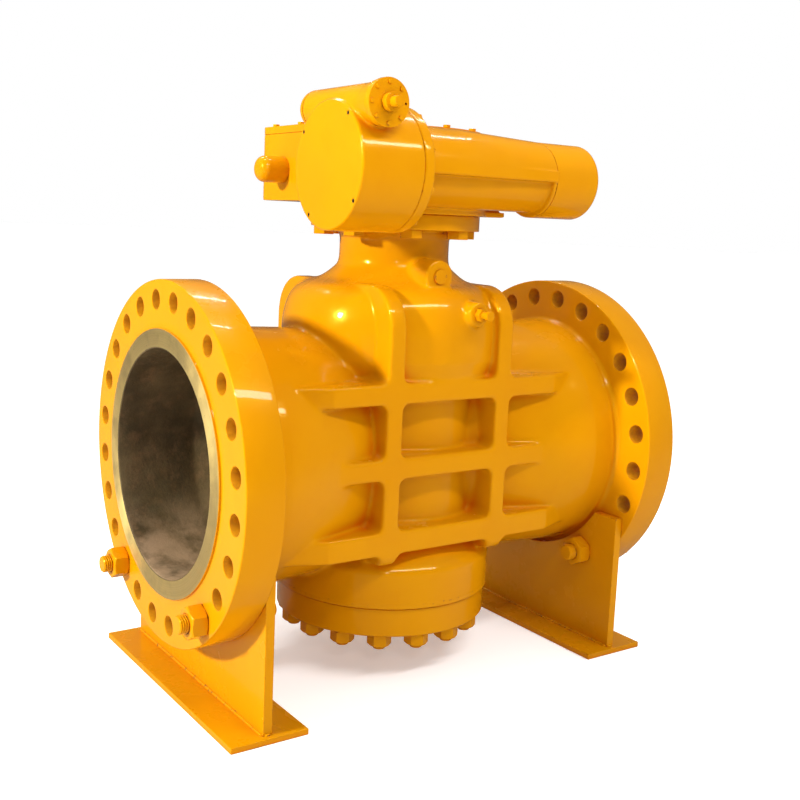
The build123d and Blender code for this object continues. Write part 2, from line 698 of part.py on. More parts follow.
def case_outside():
    """The outside of the gear housing, without the worm barrel."""
    x = (-CASE_HALF_X, CASE_HALF_X)
    y, z = (CASE_FRONT_Y, CASE_BACK_Y), (CASE_UNDERSIDE_Z, CASE_RIM_Z)
    main = rounded_block(x, y, z, CASE_CORNER_R)
    front = block((BARREL_LEFT_X, 262.0), (WORM_Y, -100.0), (CASE_UNDERSIDE_Z, CASE_RIM_Z))
    pad = rod("Z", PAD_R, CASE_BOTTOM_Z, CASE_UNDERSIDE_Z)
    low, high = LEDGE_X
    ledge = block((low, high), (-150.0, -20.0), (CASE_BOTTOM_Z, CASE_BOTTOM_Z + 14.0))
    step = block((low, high - 10), (-140.0, -20.0), (CASE_BOTTOM_Z, CASE_UNDERSIDE_Z + 1))
    return main + front + pad + ledge + step


def first_stage_outline():
    """The room that the first reduction takes, with a little air."""
    disc = rod("X", DISC_R + 2, DISC_X[0] - 1, DISC_FLANGE_X[0], WORM_AXIS)
    tube_axis = (INPUT_X, INPUT_Z)
    return disc + rod("Y", INPUT_TUBE_R + 2, INPUT_TUBE_Y[0], -55.0, tube_axis)


def case_cavities():
    """The gear chamber, the worm bore, the bush seat and the stop screw holes."""
    x, z = (-CAVITY_HALF_X, CAVITY_HALF_X), (CASE_FLOOR_Z, CASE_RIM_Z + 50)
    chamber = rounded_block(x, CAVITY_Y, z, 40.0)
    wheel_room = rod("Z", CAVITY_R, CASE_FLOOR_Z, CASE_RIM_Z + 50)
    cover_room = rod("Z", COVER_DISC_R + 1, CASE_RIM_Z, CASE_RIM_Z + 50)
    bore = rod("X", WORM_BEARING_R, DISC_FLANGE_X[0] - 1, BARREL_RIGHT_X + 1, WORM_AXIS)
    seat = rod("Z", WHEEL_BUSH_R, CASE_BOTTOM_Z - 1, CASE_FLOOR_Z + 1)
    stops = rod("X", STOP_SCREW_R, -CASE_HALF_X - 1, CASE_HALF_X + 1, (STOP_Y, WORM_Z))
    return [chamber, wheel_room, cover_room, bore, seat, stops]


def disc_screw_spots():
    """Cross positions (Y, Z) of the screws between the housing and the first reduction."""
    angles = [radians(a) for a in DISC_SCREW_ANGLES]
    r = DISC_SCREW_PITCH_R
    return [(WORM_Y + r * cos(a), WORM_Z + r * sin(a)) for a in angles]


def end_cap_spots():
    """Cross positions (Y, Z) of the screws of the worm's end cap."""
    return [(WORM_Y + y, WORM_Z + z) for y, z in around(CAP_SCREWS, 76.0, 22.5)]


def lid_spots():
    """Positions of the housing lid's screws."""
    edge_x, edge_y = CASE_HALF_X - LID_SCREW_INSET, CASE_BACK_Y - LID_SCREW_INSET
    round_r = COVER_DISC_R - LID_SCREW_INSET + 3.0
    back = [(x, edge_y) for x in (-210.0, -70.0, 70.0, 210.0)]
    sides = [(x, y) for x in (-edge_x, edge_x) for y in (-60.0, 80.0, 220.0)]
    front = [(round_r * cos(radians(a)), round_r * sin(radians(a))) for a in (-60.0, -90.0, -120.0)]
    return back + sides + front


def case_holes():
    """Threaded holes of the gear housing."""
    holes = []
    for at in around(OPERATOR_BOLTS, OPERATOR_PITCH_R, 22.5):
        end = CASE_BOTTOM_Z + OPERATOR_BOLT_DEPTH + 4
        holes.append(rod("Z", OPERATOR_BOLT_R, CASE_BOTTOM_Z - 1, end, at))
    for at in disc_screw_spots():
        holes.append(rod("X", 7.0, DISC_FLANGE_X[0] - 1, DISC_FLANGE_X[1] + 1, at))
    for at in end_cap_spots():
        holes.append(rod("X", 6.0, BARREL_RIGHT_X - 32, BARREL_RIGHT_X + 1, at))
    for at in lid_spots():
        holes.append(rod("Z", COVER_SCREW_R, CASE_RIM_Z - 34, CASE_RIM_Z + 1, at))
    return holes


def make_housing():
    """The gear housing: the case round the wheel, the worm barrel and the round flange."""
    flange = rod("X", DISC_R, *DISC_FLANGE_X, WORM_AXIS)
    outside = case_outside() - first_stage_outline()
    outside = outside + make_barrel() + flange
    outside = cut_all(outside, case_cavities() + case_holes())
    return outside - rod("Z", TOP_FLANGE_R + 2, CASE_BOTTOM_Z - 60, CASE_BOTTOM_Z)


def make_lid():
    """The lid of the gear housing, with a round boss underneath for the upper bush."""
    x = (-CASE_HALF_X, CASE_HALF_X)
    plate = rounded_block(x, (CASE_FRONT_Y, CASE_BACK_Y), (CASE_RIM_Z, CASE_TOP_Z), CASE_CORNER_R)
    disc = rod("Z", COVER_DISC_R, CASE_RIM_Z, CASE_TOP_Z)
    boss = rod("Z", 128.0, CASE_RIM_Z - 25.0, CASE_RIM_Z + 1)
    solid = plate + disc + boss - first_stage_outline()
    solid = solid - rod("X", DISC_R + 1, DISC_X[0], DISC_FLANGE_X[1] + 1, WORM_AXIS)
    solid = solid - rod("Z", WHEEL_BUSH_R, CASE_RIM_Z - 26.0, CASE_RIM_Z)
    solid = solid - rod("Z", 8.0 + RUNNING_GAP, CASE_RIM_Z - 1, CASE_TOP_Z + 1)
    low, high = CASE_RIM_Z - 1, CASE_TOP_Z + 1
    holes = [rod("Z", COVER_SCREW_R + 0.5, low, high, at) for at in lid_spots()]
    return cut_all(solid, holes)


def lid_screws():
    """The hexagon-head screws of the lid."""
    tip = CASE_RIM_Z - 30.0
    return [hex_screw("Z", COVER_SCREW_R, 18.0, 7.5, CASE_TOP_Z, tip, at) for at in lid_spots()]


def operator_bolts():
    """The bolts that hold the gear housing on the body's top flange, put in from below."""
    tip = CASE_BOTTOM_Z + OPERATOR_BOLT_DEPTH
    seat = TOP_FLANGE_Z[0]
    bolts = []
    for at in around(OPERATOR_BOLTS, OPERATOR_PITCH_R, 22.5):
        head = (OPERATOR_BOLT_FLATS, OPERATOR_BOLT_HEAD)
        bolts.append(hex_screw("Z", OPERATOR_BOLT_R, *head, seat, tip, at))
    return bolts


def toothed_disc(radius, teeth, depth, thick):
    """A flat disc with plain straight teeth, in the XY plane."""
    gap = 2 * radius * sin(radians(90.0 / teeth)) * 0.9
    disc = Circle(radius)
    gaps = [loc * Rectangle(2 * depth, gap) for loc in PolarLocations(radius, teeth)]
    return extrude(disc - gaps, amount=thick)


def make_wheel():
    """The large bronze worm wheel with its hub and the lug that meets the stop screws."""
    low, high = WHEEL_Z
    rim = toothed_disc(WHEEL_R, WHEEL_TEETH, WHEEL_TOOTH_DEPTH, high - low)
    rim = Pos(0, 0, low) * rim
    hub = rod("Z", WHEEL_HUB_R, *WHEEL_HUB_Z)
    lug = block((120.0, LUG_R + 20), (-LUG_HALF_WIDTH, LUG_HALF_WIDTH), (WORM_Z - 26, WORM_Z + 26))
    lug = lug & rod("Z", LUG_R, WORM_Z - 26, WORM_Z + 26)
    lug = Rot(0, 0, LUG_ANGLE) * lug
    solid = rim.solid() + hub + lug
    return solid - rod("Z", STEM_R + RUNNING_GAP, 0.0, CASE_TOP_Z + 100) - key_seat()


def wheel_bushes():
    """The lower and the upper bush of the wheel's hub."""
    inner = WHEEL_HUB_R + RUNNING_GAP
    lower = ring("Z", WHEEL_BUSH_R, inner, CASE_BOTTOM_Z + 2, CASE_FLOOR_Z)
    upper = ring("Z", WHEEL_BUSH_R, inner, CASE_RIM_Z - 25, CASE_RIM_Z)
    return lower, upper


def make_worm_shaft():
    """The worm shaft that crosses the barrel and carries the first wheel."""
    worm = rod("X", WORM_R, -WORM_HALF_LENGTH, WORM_HALF_LENGTH, WORM_AXIS)
    shaft = rod("X", WORM_SHAFT_R, FIRST_WHEEL_X[0] - 4, 330.0, WORM_AXIS)
    return worm + shaft - first_key_seat()


def first_key_seat():
    """The space that the first wheel's key fills."""
    y = (WORM_Y - 5.0, WORM_Y + 5.0)
    x = (FIRST_WHEEL_X[0] + 4, FIRST_WHEEL_X[1] - 4)
    return block(x, y, (WORM_Z + WORM_SHAFT_R - 6, WORM_Z + WORM_SHAFT_R + 5))


def worm_bearings():
    """The two bearings of the worm shaft."""
    inner = WORM_SHAFT_R + RUNNING_GAP
    spans = ((-165.0, -135.0), (290.0, 320.0))
    return [ring("X", WORM_BEARING_R, inner, low, high, WORM_AXIS) for low, high in spans]


def make_end_cap():
    """The plain round end cap on the right end of the worm barrel."""
    solid = rod("X", BARREL_END_R, BARREL_RIGHT_X, END_CAP_X, WORM_AXIS)
    solid = fillet(solid.edges().group_by(Axis.X)[-1], END_CAP_DOME)
    solid = solid - rod("X", WORM_BEARING_R, BARREL_RIGHT_X - 1, 345.0, WORM_AXIS)
    for at in end_cap_spots():
        solid = solid - rod("X", 6.5, BARREL_RIGHT_X - 1, END_CAP_X + 1, at)
        solid = solid - rod("X", 10.5, END_CAP_X - 16, END_CAP_X + 1, at)
    return solid


def end_cap_screws():
    """The long socket screws of the end cap."""
    tip = BARREL_RIGHT_X - 28
    return [socket_screw("X", 6.0, 9.0, END_CAP_X - 16, tip, at) for at in end_cap_spots()]


# ---------------------------------------------------------------- first reduction
def make_first_case():
    """The round case of the first reduction with the input tube across its top."""
    tube_axis = (INPUT_X, INPUT_Z)
    disc = rod("X", DISC_R, *DISC_X, WORM_AXIS)
    disc = fillet(disc.edges().group_by(Axis.X)[0], 3.0)
    tube = rod("Y", INPUT_TUBE_R, INPUT_FLARE_Y[1], INPUT_TUBE_Y[1], tube_axis)
    flare = cone("Y", INPUT_CAP_R, INPUT_TUBE_R, *INPUT_FLARE_Y, tube_axis)
    solid = disc + tube + flare
    solid = solid - rod("X", DISC_CAVITY_R, DISC_X[0] + DISC_WALL, DISC_X[1] + 1, WORM_AXIS)
    solid = solid - rod("Y", INPUT_BORE_R, INPUT_TUBE_Y[0] - 1, INPUT_TUBE_Y[1] + 1, tube_axis)
    for at in disc_screw_spots():
        solid = solid - rod("X", 6.0, DISC_X[1] - 40, DISC_X[1] + 1, at)
    for at in input_cap_spots():
        solid = solid - rod("Y", 3.0, INPUT_TUBE_Y[0] - 1, INPUT_TUBE_Y[0] + 18, at)
    for at in face_plug_spots():
        solid = solid - rod("X", 5.0, DISC_X[0] - 1, DISC_X[0] + 12, at)
    return solid


def face_plug_spots():
    """Cross positions (Y, Z) of the small plugs near the rim of the case's flat face."""
    return [(WORM_Y + y, WORM_Z + z) for y, z in around(4, 147.0, 215.0)]


def face_plugs():
    """The small socket plugs in the flat face of the first case."""
    plugs = []
    for at in face_plug_spots():
        plug = rod("X", 5.0, DISC_X[0] + 1.5, DISC_X[0] + 12, at)
        plugs.append(plug - hexagon("X", 5.0, DISC_X[0], DISC_X[0] + 5.0, at))
    return plugs


def first_case_screws():
    """The screws that hold the first case, put in from the flange's back."""
    tip = DISC_X[1] - 26
    return [hex_screw("X", 6.0, 18.0, 7.5, DISC_FLANGE_X[1], tip, at) for at in disc_screw_spots()]


def make_first_wheel():
    """The bronze wheel of the first reduction, on the left end of the worm shaft."""
    thick = FIRST_WHEEL_X[1] - FIRST_WHEEL_X[0]
    flat = toothed_disc(FIRST_WHEEL_R, FIRST_WHEEL_TEETH, FIRST_WHEEL_TOOTH_DEPTH, thick)
    wheel = (axis_plane("X", FIRST_WHEEL_X[0], WORM_AXIS) * flat).solid()
    wheel = wheel - rod("X", WORM_SHAFT_R, FIRST_WHEEL_X[0] - 1, FIRST_WHEEL_X[1] + 1, WORM_AXIS)
    return wheel - first_key_seat()


def input_cap_spots():
    """Positions (X, Z) of the screw holes in the input cap."""
    return [(INPUT_X + x, INPUT_Z + z) for x, z in around(CAP_SCREWS, 47.0)]


def make_input_shaft():
    """The input shaft with its worm, a collar outside the cap and a stepped square end."""
    axis = (INPUT_X, INPUT_Z)
    solid = rod("Y", INPUT_SHAFT_R, INPUT_CAP_Y[0] - 18, INPUT_TUBE_Y[1] - 15, axis)
    solid = solid + rod("Y", INPUT_WORM_R, WORM_Y - 62, WORM_Y + 62, axis)
    solid = solid + rod("Y", INPUT_COLLAR_R, INPUT_CAP_Y[0] - 19, INPUT_CAP_Y[0] - 1.5, axis)
    return solid + rod("Y", INPUT_TIP_R, INPUT_TIP_Y, INPUT_CAP_Y[0] - 18, axis)


def input_bearings():
    """The two bearings of the input shaft."""
    inner = INPUT_SHAFT_R + RUNNING_GAP
    spans = ((-400.0, -380.0), (-140.0, -120.0))
    return [ring("Y", INPUT_BORE_R, inner, low, high, (INPUT_X, INPUT_Z)) for low, high in spans]


def make_input_cap():
    """The flat cap round the input shaft."""
    axis = (INPUT_X, INPUT_Z)
    solid = ring("Y", INPUT_CAP_R, INPUT_SHAFT_R + 1, *INPUT_CAP_Y, axis)
    solid = solid - rod("Y", 27.0, INPUT_CAP_Y[0] + 4, INPUT_CAP_Y[1] + 1, axis)
    low, high = INPUT_CAP_Y
    holes = [rod("Y", INPUT_CAP_HOLE_R, low - 1, high + 1, at) for at in input_cap_spots()]
    return cut_all(solid, holes)


def input_cap_screws():
    """The small screws of the input cap. One of the eight holes is left empty."""
    tip = INPUT_TUBE_Y[0] + 16
    return [hex_screw("Y", 3.0, 10.0, 4.0, INPUT_CAP_Y[0], tip, at) for at in input_cap_spots()[1:]]


def input_seal():
    """The shaft seal inside the input cap."""
    low = INPUT_CAP_Y[0] + 4
    return ring("Y", 27.0, INPUT_SHAFT_R + RUNNING_GAP, low, INPUT_CAP_Y[1], (INPUT_X, INPUT_Z))


def tube_end_plug():
    """The rounded plug that closes the far end of the input tube."""
    axis = (INPUT_X, INPUT_Z)
    dome = rod("Y", INPUT_TUBE_R, INPUT_TUBE_Y[1], INPUT_TUBE_Y[1] + 32, axis)
    dome = fillet(dome.edges().group_by(Axis.Y)[-1], 30.0)
    return dome + rod("Y", INPUT_BORE_R, INPUT_TUBE_Y[1] - 12, INPUT_TUBE_Y[1] + 1, axis)


# ---------------------------------------------------------------- stops, fittings, pointer
def stop_parts():
    """The two stop screws, their lock nuts and their domed caps."""
    screws = []
    nuts = []
    caps = []
    at = (STOP_Y, WORM_Z)
    inside_end = STOP_CAP_END - 18.0
    for side in (-1, 1):
        ends = sorted((side * STOP_TIP_X, side * (inside_end - 6)))
        screws.append(rod("X", STOP_SCREW_R, *ends, at))
        nut = sorted((side * CASE_HALF_X, side * (CASE_HALF_X + 20)))
        nuts.append(hex_nut("X", 46.0, STOP_SCREW_R, *nut, at))
        cap = rod("X", STOP_CAP_R, *sorted((side * CASE_HALF_X, side * STOP_CAP_END)), at)
        outer_edge = cap.edges().group_by(Axis.X)[0 if side < 0 else -1]
        cap = fillet(outer_edge, 24.0)
        room = rod("X", 29.0, *sorted((side * (CASE_HALF_X - 1), side * inside_end)), at)
        caps.append(cap - room)
    return screws, nuts, caps


def sealant_fitting(face_y, across):
    """A hexagonal sealant fitting with a button head, screwed into a boss from -Y."""
    stem_part = rod("Y", FITTING_BORE_R, face_y - 1, face_y + 40, across)
    body = hexagon("Y", 32.0, face_y - 18, face_y, across)
    neck = rod("Y", 10.0, face_y - 34, face_y - 18, across)
    button = rod("Y", 13.0, face_y - 46, face_y - 34, across)
    return stem_part + body + neck + button


def neck_plug():
    """The flush round plug in the neck's boss."""
    seat = rod("Y", FITTING_BORE_R, -241.0, -200.0, NECK_FITTING)
    return seat + rod("Y", 20.0, -246.0, -240.0, NECK_FITTING)


def pointer():
    """The position pointer on a pin that turns with the stem."""
    pin = rod("Z", 8.0, STEM_TOP_Z - 28, CASE_TOP_Z + 4)
    arm = block((-34.0, 34.0), (-9.0, 9.0), (CASE_TOP_Z + 1, CASE_TOP_Z + 6))
    return pin + arm


def make_all():
    """Build every piece and write it out."""
    os.makedirs("parts", exist_ok=True)
    save("body_casting", make_body())
    save("plug", make_plug())
    save("plug_coupling", make_coupling())
    save("stem", make_stem())
    save("stem_thrust_washer", stem_washer())
    save("stem_bush", ring("Z", STEM_BUSH_R, STEM_R + RUNNING_GAP, *STEM_BUSH_Z))
    save("packing_rings", packing())
    save("gland", make_gland())
    save("gland_screws", gland_screws())
    save("bottom_cover", make_cover())
    save("cover_gasket", ring("Z", GASKET_R[1], GASKET_R[0], SPLIT_Z - GASKET_THICK, SPLIT_Z))
    save("cover_studs", cover_studs())
    save("cover_nuts", cover_nuts())
    save("thrust_ball", thrust_ball())
    save("adjusting_screw", adjuster())
    save("adjuster_cap", adjuster_cap())
    for name, side in (("left", -1), ("right", 1)):
        save(f"{name}_support_web", make_web(side))
        save(f"{name}_support_foot", make_foot(side))
    studs, nuts = support_fasteners()
    save("support_studs", studs)
    save("support_nuts", nuts)
    save("gear_housing", make_housing())
    save("housing_lid", make_lid())
    save("lid_screws", lid_screws())
    save("operator_bolts", operator_bolts())
    save("worm_wheel", make_wheel())
    save("wheel_key", key_seat())
    lower, upper = wheel_bushes()
    save("lower_wheel_bush", lower)
    save("upper_wheel_bush", upper)
    save("worm_shaft", make_worm_shaft())
    save("worm_bearings", worm_bearings())
    save("worm_end_cap", make_end_cap())
    save("end_cap_screws", end_cap_screws())
    save("first_stage_case", make_first_case())
    save("case_face_plugs", face_plugs())
    save("first_stage_screws", first_case_screws())
    save("first_stage_wheel", make_first_wheel())
    save("first_wheel_key", first_key_seat())
    save("input_shaft", make_input_shaft())
    save("input_bearings", input_bearings())
    save("input_cap", make_input_cap())
    save("input_cap_screws", input_cap_screws())
    save("input_seal", input_seal())
    save("input_tube_plug", tube_end_plug())
    screws, nuts, caps = stop_parts()
    save("stop_screws", screws)
    save("stop_lock_nuts", nuts)
    save("stop_caps", caps)
    save("body_sealant_fitting", sealant_fitting(-322.0, BODY_FITTING))
    save("neck_plug", neck_plug())
    save("position_pointer", pointer())


make_all()
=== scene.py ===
"""The looks of a 24 inch plug valve with a double worm gear operator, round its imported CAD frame."""
import json
import math

import bmesh
import bpy
import numpy as np
from mathutils import Matrix, Vector


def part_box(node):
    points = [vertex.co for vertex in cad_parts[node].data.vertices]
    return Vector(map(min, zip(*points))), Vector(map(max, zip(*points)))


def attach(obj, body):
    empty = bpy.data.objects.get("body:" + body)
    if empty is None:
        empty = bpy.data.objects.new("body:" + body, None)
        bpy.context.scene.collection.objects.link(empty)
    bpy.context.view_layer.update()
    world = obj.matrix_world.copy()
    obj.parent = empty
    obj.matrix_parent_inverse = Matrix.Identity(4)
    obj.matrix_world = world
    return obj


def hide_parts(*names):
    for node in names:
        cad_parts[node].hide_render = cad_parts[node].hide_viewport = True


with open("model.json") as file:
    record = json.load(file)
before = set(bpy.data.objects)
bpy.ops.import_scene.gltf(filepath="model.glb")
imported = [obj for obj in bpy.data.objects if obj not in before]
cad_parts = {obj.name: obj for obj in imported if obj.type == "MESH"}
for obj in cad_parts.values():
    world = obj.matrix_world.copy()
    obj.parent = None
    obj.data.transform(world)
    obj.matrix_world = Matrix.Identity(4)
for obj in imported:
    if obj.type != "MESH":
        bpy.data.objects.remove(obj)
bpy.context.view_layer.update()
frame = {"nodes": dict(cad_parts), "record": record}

ROOT = "valve"
MM = 0.001

# ---------------------------------------------------------------- driving sizes
# The outer limits come from the frame, and the rest are the sizes that the CAD model has.
body_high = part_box("body_casting")[1]
cover_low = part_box("bottom_cover")[0]
stud_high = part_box("support_studs")[1]

FACE_X = body_high.x
FLANGE_R = body_high.y
PIPE_Z = 612 * MM
RAISED = 6.4 * MM
RAISED_R = 346.1 * MM
FLANGE_FRONT = FACE_X - RAISED
FLANGE_BACK = FLANGE_FRONT - 101.6 * MM
FLANGE_HOLES = 24
FLANGE_PITCH = 419.1 * MM
FLANGE_HOLE_R = {-1: 26 * MM, 1: 26.3 * MM}
BORE_R = 295 * MM
NOZZLE_R = 347 * MM
HUB_FILLET = 14 * MM
CAST_END = 572 * MM
COLLAR_START = 556 * MM
SPLIT_Z = 217 * MM
BOSS_R = 312 * MM
BOSS_RIM_TOP = 236 * MM
COVER_BORE_R = 212 * MM
COVER_PITCH = 265 * MM
COVER_STUDS = 16
COVER_STUD_R = 18 * MM
COVER_NUT_FLATS = 58 * MM
COVER_THREAD = 4 * MM
TOP_FLANGE_Z = (1228 * MM, body_high.z)
TOP_FLANGE_R = 237.5 * MM
TOP_FLANGE_PITCH = 203 * MM
TOP_FLANGE_HOLES = 8
TOP_FLANGE_HOLE_R = 19.5 * MM
NECK_TOP_R = 165 * MM
GLAND_RECESS_R = 150 * MM
PLUG_Z = (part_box("plug")[0].z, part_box("plug")[1].z)
SUPPORT_STUD_R = 24 * MM
SUPPORT_NUT_FLATS = 75 * MM
SUPPORT_NUT_HEIGHT = 42 * MM
SUPPORT_WEB_THICK = 25 * MM
SUPPORT_THREAD = 6 * MM
SUPPORT_STUD_SPOTS = ((-255.1 * MM, 279.5 * MM), (255.1 * MM, 279.5 * MM))

# ---------------------------------------------------------------- mesh helpers
SMOOTH_BELOW = math.radians(38)
WELD = 1e-5


def along_x(side):
    """Maps a radius, an angle from straight up and a distance out along the pipe to a point."""
    def place(radius, angle, depth):
        return (side * depth, radius * math.sin(angle), PIPE_Z + radius * math.cos(angle))
    return place


def along_z(x=0.0, y=0.0):
    """Maps a radius, an angle and a height to a point round a vertical axis."""
    def place(radius, angle, height):
        return (x + radius * math.cos(angle), y + radius * math.sin(angle), height)
    return place


class Skin:
    """Vertices and faces of one mesh, added ring by ring."""

    def __init__(self):
        self.points = []
        self.faces = []

    def ring(self, points):
        start = len(self.points)
        self.points += points
        return list(range(start, len(self.points)))

    def strip(self, first, second):
        """Quads between two closed rings of the same length."""
        count = len(first)
        for i in range(count):
            j = (i + 1) % count
            self.faces.append((first[i], first[j], second[j], second[i]))

    def tube(self, rings, closed=False):
        """Strips along a list of rings of points."""
        made = [self.ring(points) for points in rings]
        for first, second in zip(made, made[1:]):
            self.strip(first, second)
        if closed:
            self.strip(made[-1], made[0])
        return made

    def cap(self, ring):
        self.faces.append(tuple(ring))

    def build(self, name):
        mesh = bpy.data.meshes.new(name)
        mesh.from_pydata(self.points, [], self.faces)
        return finished_object(name, mesh)


def finished_object(name, mesh):
    """An object with welded vertices, outward normals and smooth shading below a limit angle."""
    work = bmesh.new()
    work.from_mesh(mesh)
    bmesh.ops.remove_doubles(work, verts=work.verts, dist=WELD)
    bmesh.ops.recalc_face_normals(work, faces=work.faces)
    work.to_mesh(mesh)
    work.free()
    shade(mesh)
    obj = bpy.data.objects.new(name, mesh)
    bpy.context.scene.collection.objects.link(obj)
    return obj


def shade(mesh, limit=SMOOTH_BELOW):
    mesh.polygons.foreach_set("use_smooth", [True] * len(mesh.polygons))
    mesh.set_sharp_from_angle(angle=limit)
    mesh.update()


def applied(obj):
    """Replaces obj's mesh with the one its modifiers make."""
    bpy.context.view_layer.update()
    graph = bpy.context.evaluated_depsgraph_get()
    mesh = bpy.data.meshes.new_from_object(obj.evaluated_get(graph))
    obj.modifiers.clear()
    obj.data = mesh
    return obj


def node_copy(name, nodes):
    """One welded mesh object holding copies of CAD nodes."""
    work = bmesh.new()
    for node in nodes:
        work.from_mesh(frame["nodes"][node].data)
    bmesh.ops.remove_doubles(work, verts=work.verts, dist=WELD)
    mesh = bpy.data.meshes.new(name)
    work.to_mesh(mesh)
    work.free()
    obj = bpy.data.objects.new(name, mesh)
    bpy.context.scene.collection.objects.link(obj)
    return obj


def cut(obj, point, normal):
    """Cuts away what lies past a plane and closes the cut."""
    work = bmesh.new()
    work.from_mesh(obj.data)
    everything = work.verts[:] + work.edges[:] + work.faces[:]
    made = bmesh.ops.bisect_plane(
        work, geom=everything, plane_co=point, plane_no=normal, clear_outer=True, dist=WELD / 10
    )
    rim = [e for e in made["geom_cut"] if isinstance(e, bmesh.types.BMEdge)]
    bmesh.ops.triangle_fill(work, edges=rim, use_beauty=True, normal=normal)
    work.to_mesh(obj.data)
    work.free()


def arc(centre, radius, start, end, steps):
    """Points of an arc in a (radius, depth) profile, angles in degrees from the radius axis."""
    points = []
    for i in range(steps + 1):
        angle = math.radians(start + (end - start) * i / steps)
        across = centre[0] + radius * math.cos(angle)
        points.append((across, centre[1] + radius * math.sin(angle)))
    return points


def ride(obj, body=ROOT, replaces=()):
    """The frame calls that every new piece needs."""
    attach(obj, body)
    if replaces:
        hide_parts(*replaces)
    return obj


# ---------------------------------------------------------------- materials
YELLOW = (0.57, 0.232, 0.001, 1)
AMBER = (0.54, 0.200, 0.001, 1)
# painted shade: the redder orange that recesses of the enamel turn to
PAINTED_SHADE_RED = (0.66, 0.100, 0.001, 1)
GLINT = (1.0, 0.74, 0.06, 1)
# dark brown for dirt, and for painted shade in corners
DIRT_AND_SHADE = (0.10, 0.045, 0.012, 1)
PRIMER = (0.20, 0.055, 0.022, 1)


class Surface:
    """A material whose nodes are added by short calls."""

    def __init__(self, name):
        self.material = bpy.data.materials.new(name)
        self.material.use_nodes = True
        self.tree = self.material.node_tree
        self.tree.nodes.clear()
        self.shader = self.tree.nodes.new("ShaderNodeBsdfPrincipled")
        output = self.tree.nodes.new("ShaderNodeOutputMaterial")
        self.tree.links.new(self.shader.outputs["BSDF"], output.inputs["Surface"])
        self.place = self.tree.nodes.new("ShaderNodeTexCoord").outputs["Object"]

    def set(self, **sockets):
        """Numbers, colours or links for the shader's own sockets, with _ for a space."""
        for name, value in sockets.items():
            self.feed(self.shader.inputs[name.replace("_", " ")], value)
        return self

    def feed(self, socket, value):
        if isinstance(value, bpy.types.NodeSocket):
            self.tree.links.new(value, socket)
        else:
            socket.default_value = value

    def add(self, kind, inputs, output=0, **settings):
        """A node with its settings and its inputs, by name or number, and one of its outputs."""
        node = self.tree.nodes.new(kind)
        for name, value in settings.items():
            setattr(node, name, value)
        for name, value in inputs.items():
            self.feed(node.inputs[name], value)
        return node.outputs[output]

    def stretched(self, scale):
        """The object's coordinates scaled by a different number on each axis."""
        return self.add("ShaderNodeMapping", {"Vector": self.place, "Scale": scale})

    def noise(self, scale, detail=3.0, roughness=0.55, where=None, distortion=0.0):
        inputs = {"Vector": where or self.place, "Scale": scale, "Detail": detail}
        inputs.update({"Roughness": roughness, "Distortion": distortion})
        return self.add("ShaderNodeTexNoise", inputs)

    def ramp(self, value, low, high, to_low=0.0, to_high=1.0):
        """A value mapped from one range to another, smoothly and clamped."""
        inputs = {"Value": value, "From Min": low, "From Max": high}
        inputs.update({"To Min": to_low, "To Max": to_high})
        return self.add("ShaderNodeMapRange", inputs, interpolation_type="SMOOTHSTEP")

    def mix(self, share, first, second):
        inputs = {"Factor": share, 6: first, 7: second}
        return self.add("ShaderNodeMix", inputs, output=2, data_type="RGBA")

    def times(self, first, second):
        return self.add("ShaderNodeMath", {0: first, 1: second}, operation="MULTIPLY")

    def bump(self, height, distance, strength=1.0, under=None):
        inputs = {"Height": height, "Distance": distance, "Strength": strength}
        if under is not None:
            inputs["Normal"] = under
        return self.add("ShaderNodeBump", inputs)

    def hollow(self, distance):
        """From 0 in a deep crevice to 1 on an open surface."""
        return self.add(
            "ShaderNodeAmbientOcclusion", {"Distance": distance}, output="AO", samples=6
        )

    def upward(self):
        """How far a surface faces up, from -1 to 1."""
        normal = self.add("ShaderNodeNewGeometry", {}, output="Normal")
        return self.add("ShaderNodeSeparateXYZ", {0: normal}, output="Z")


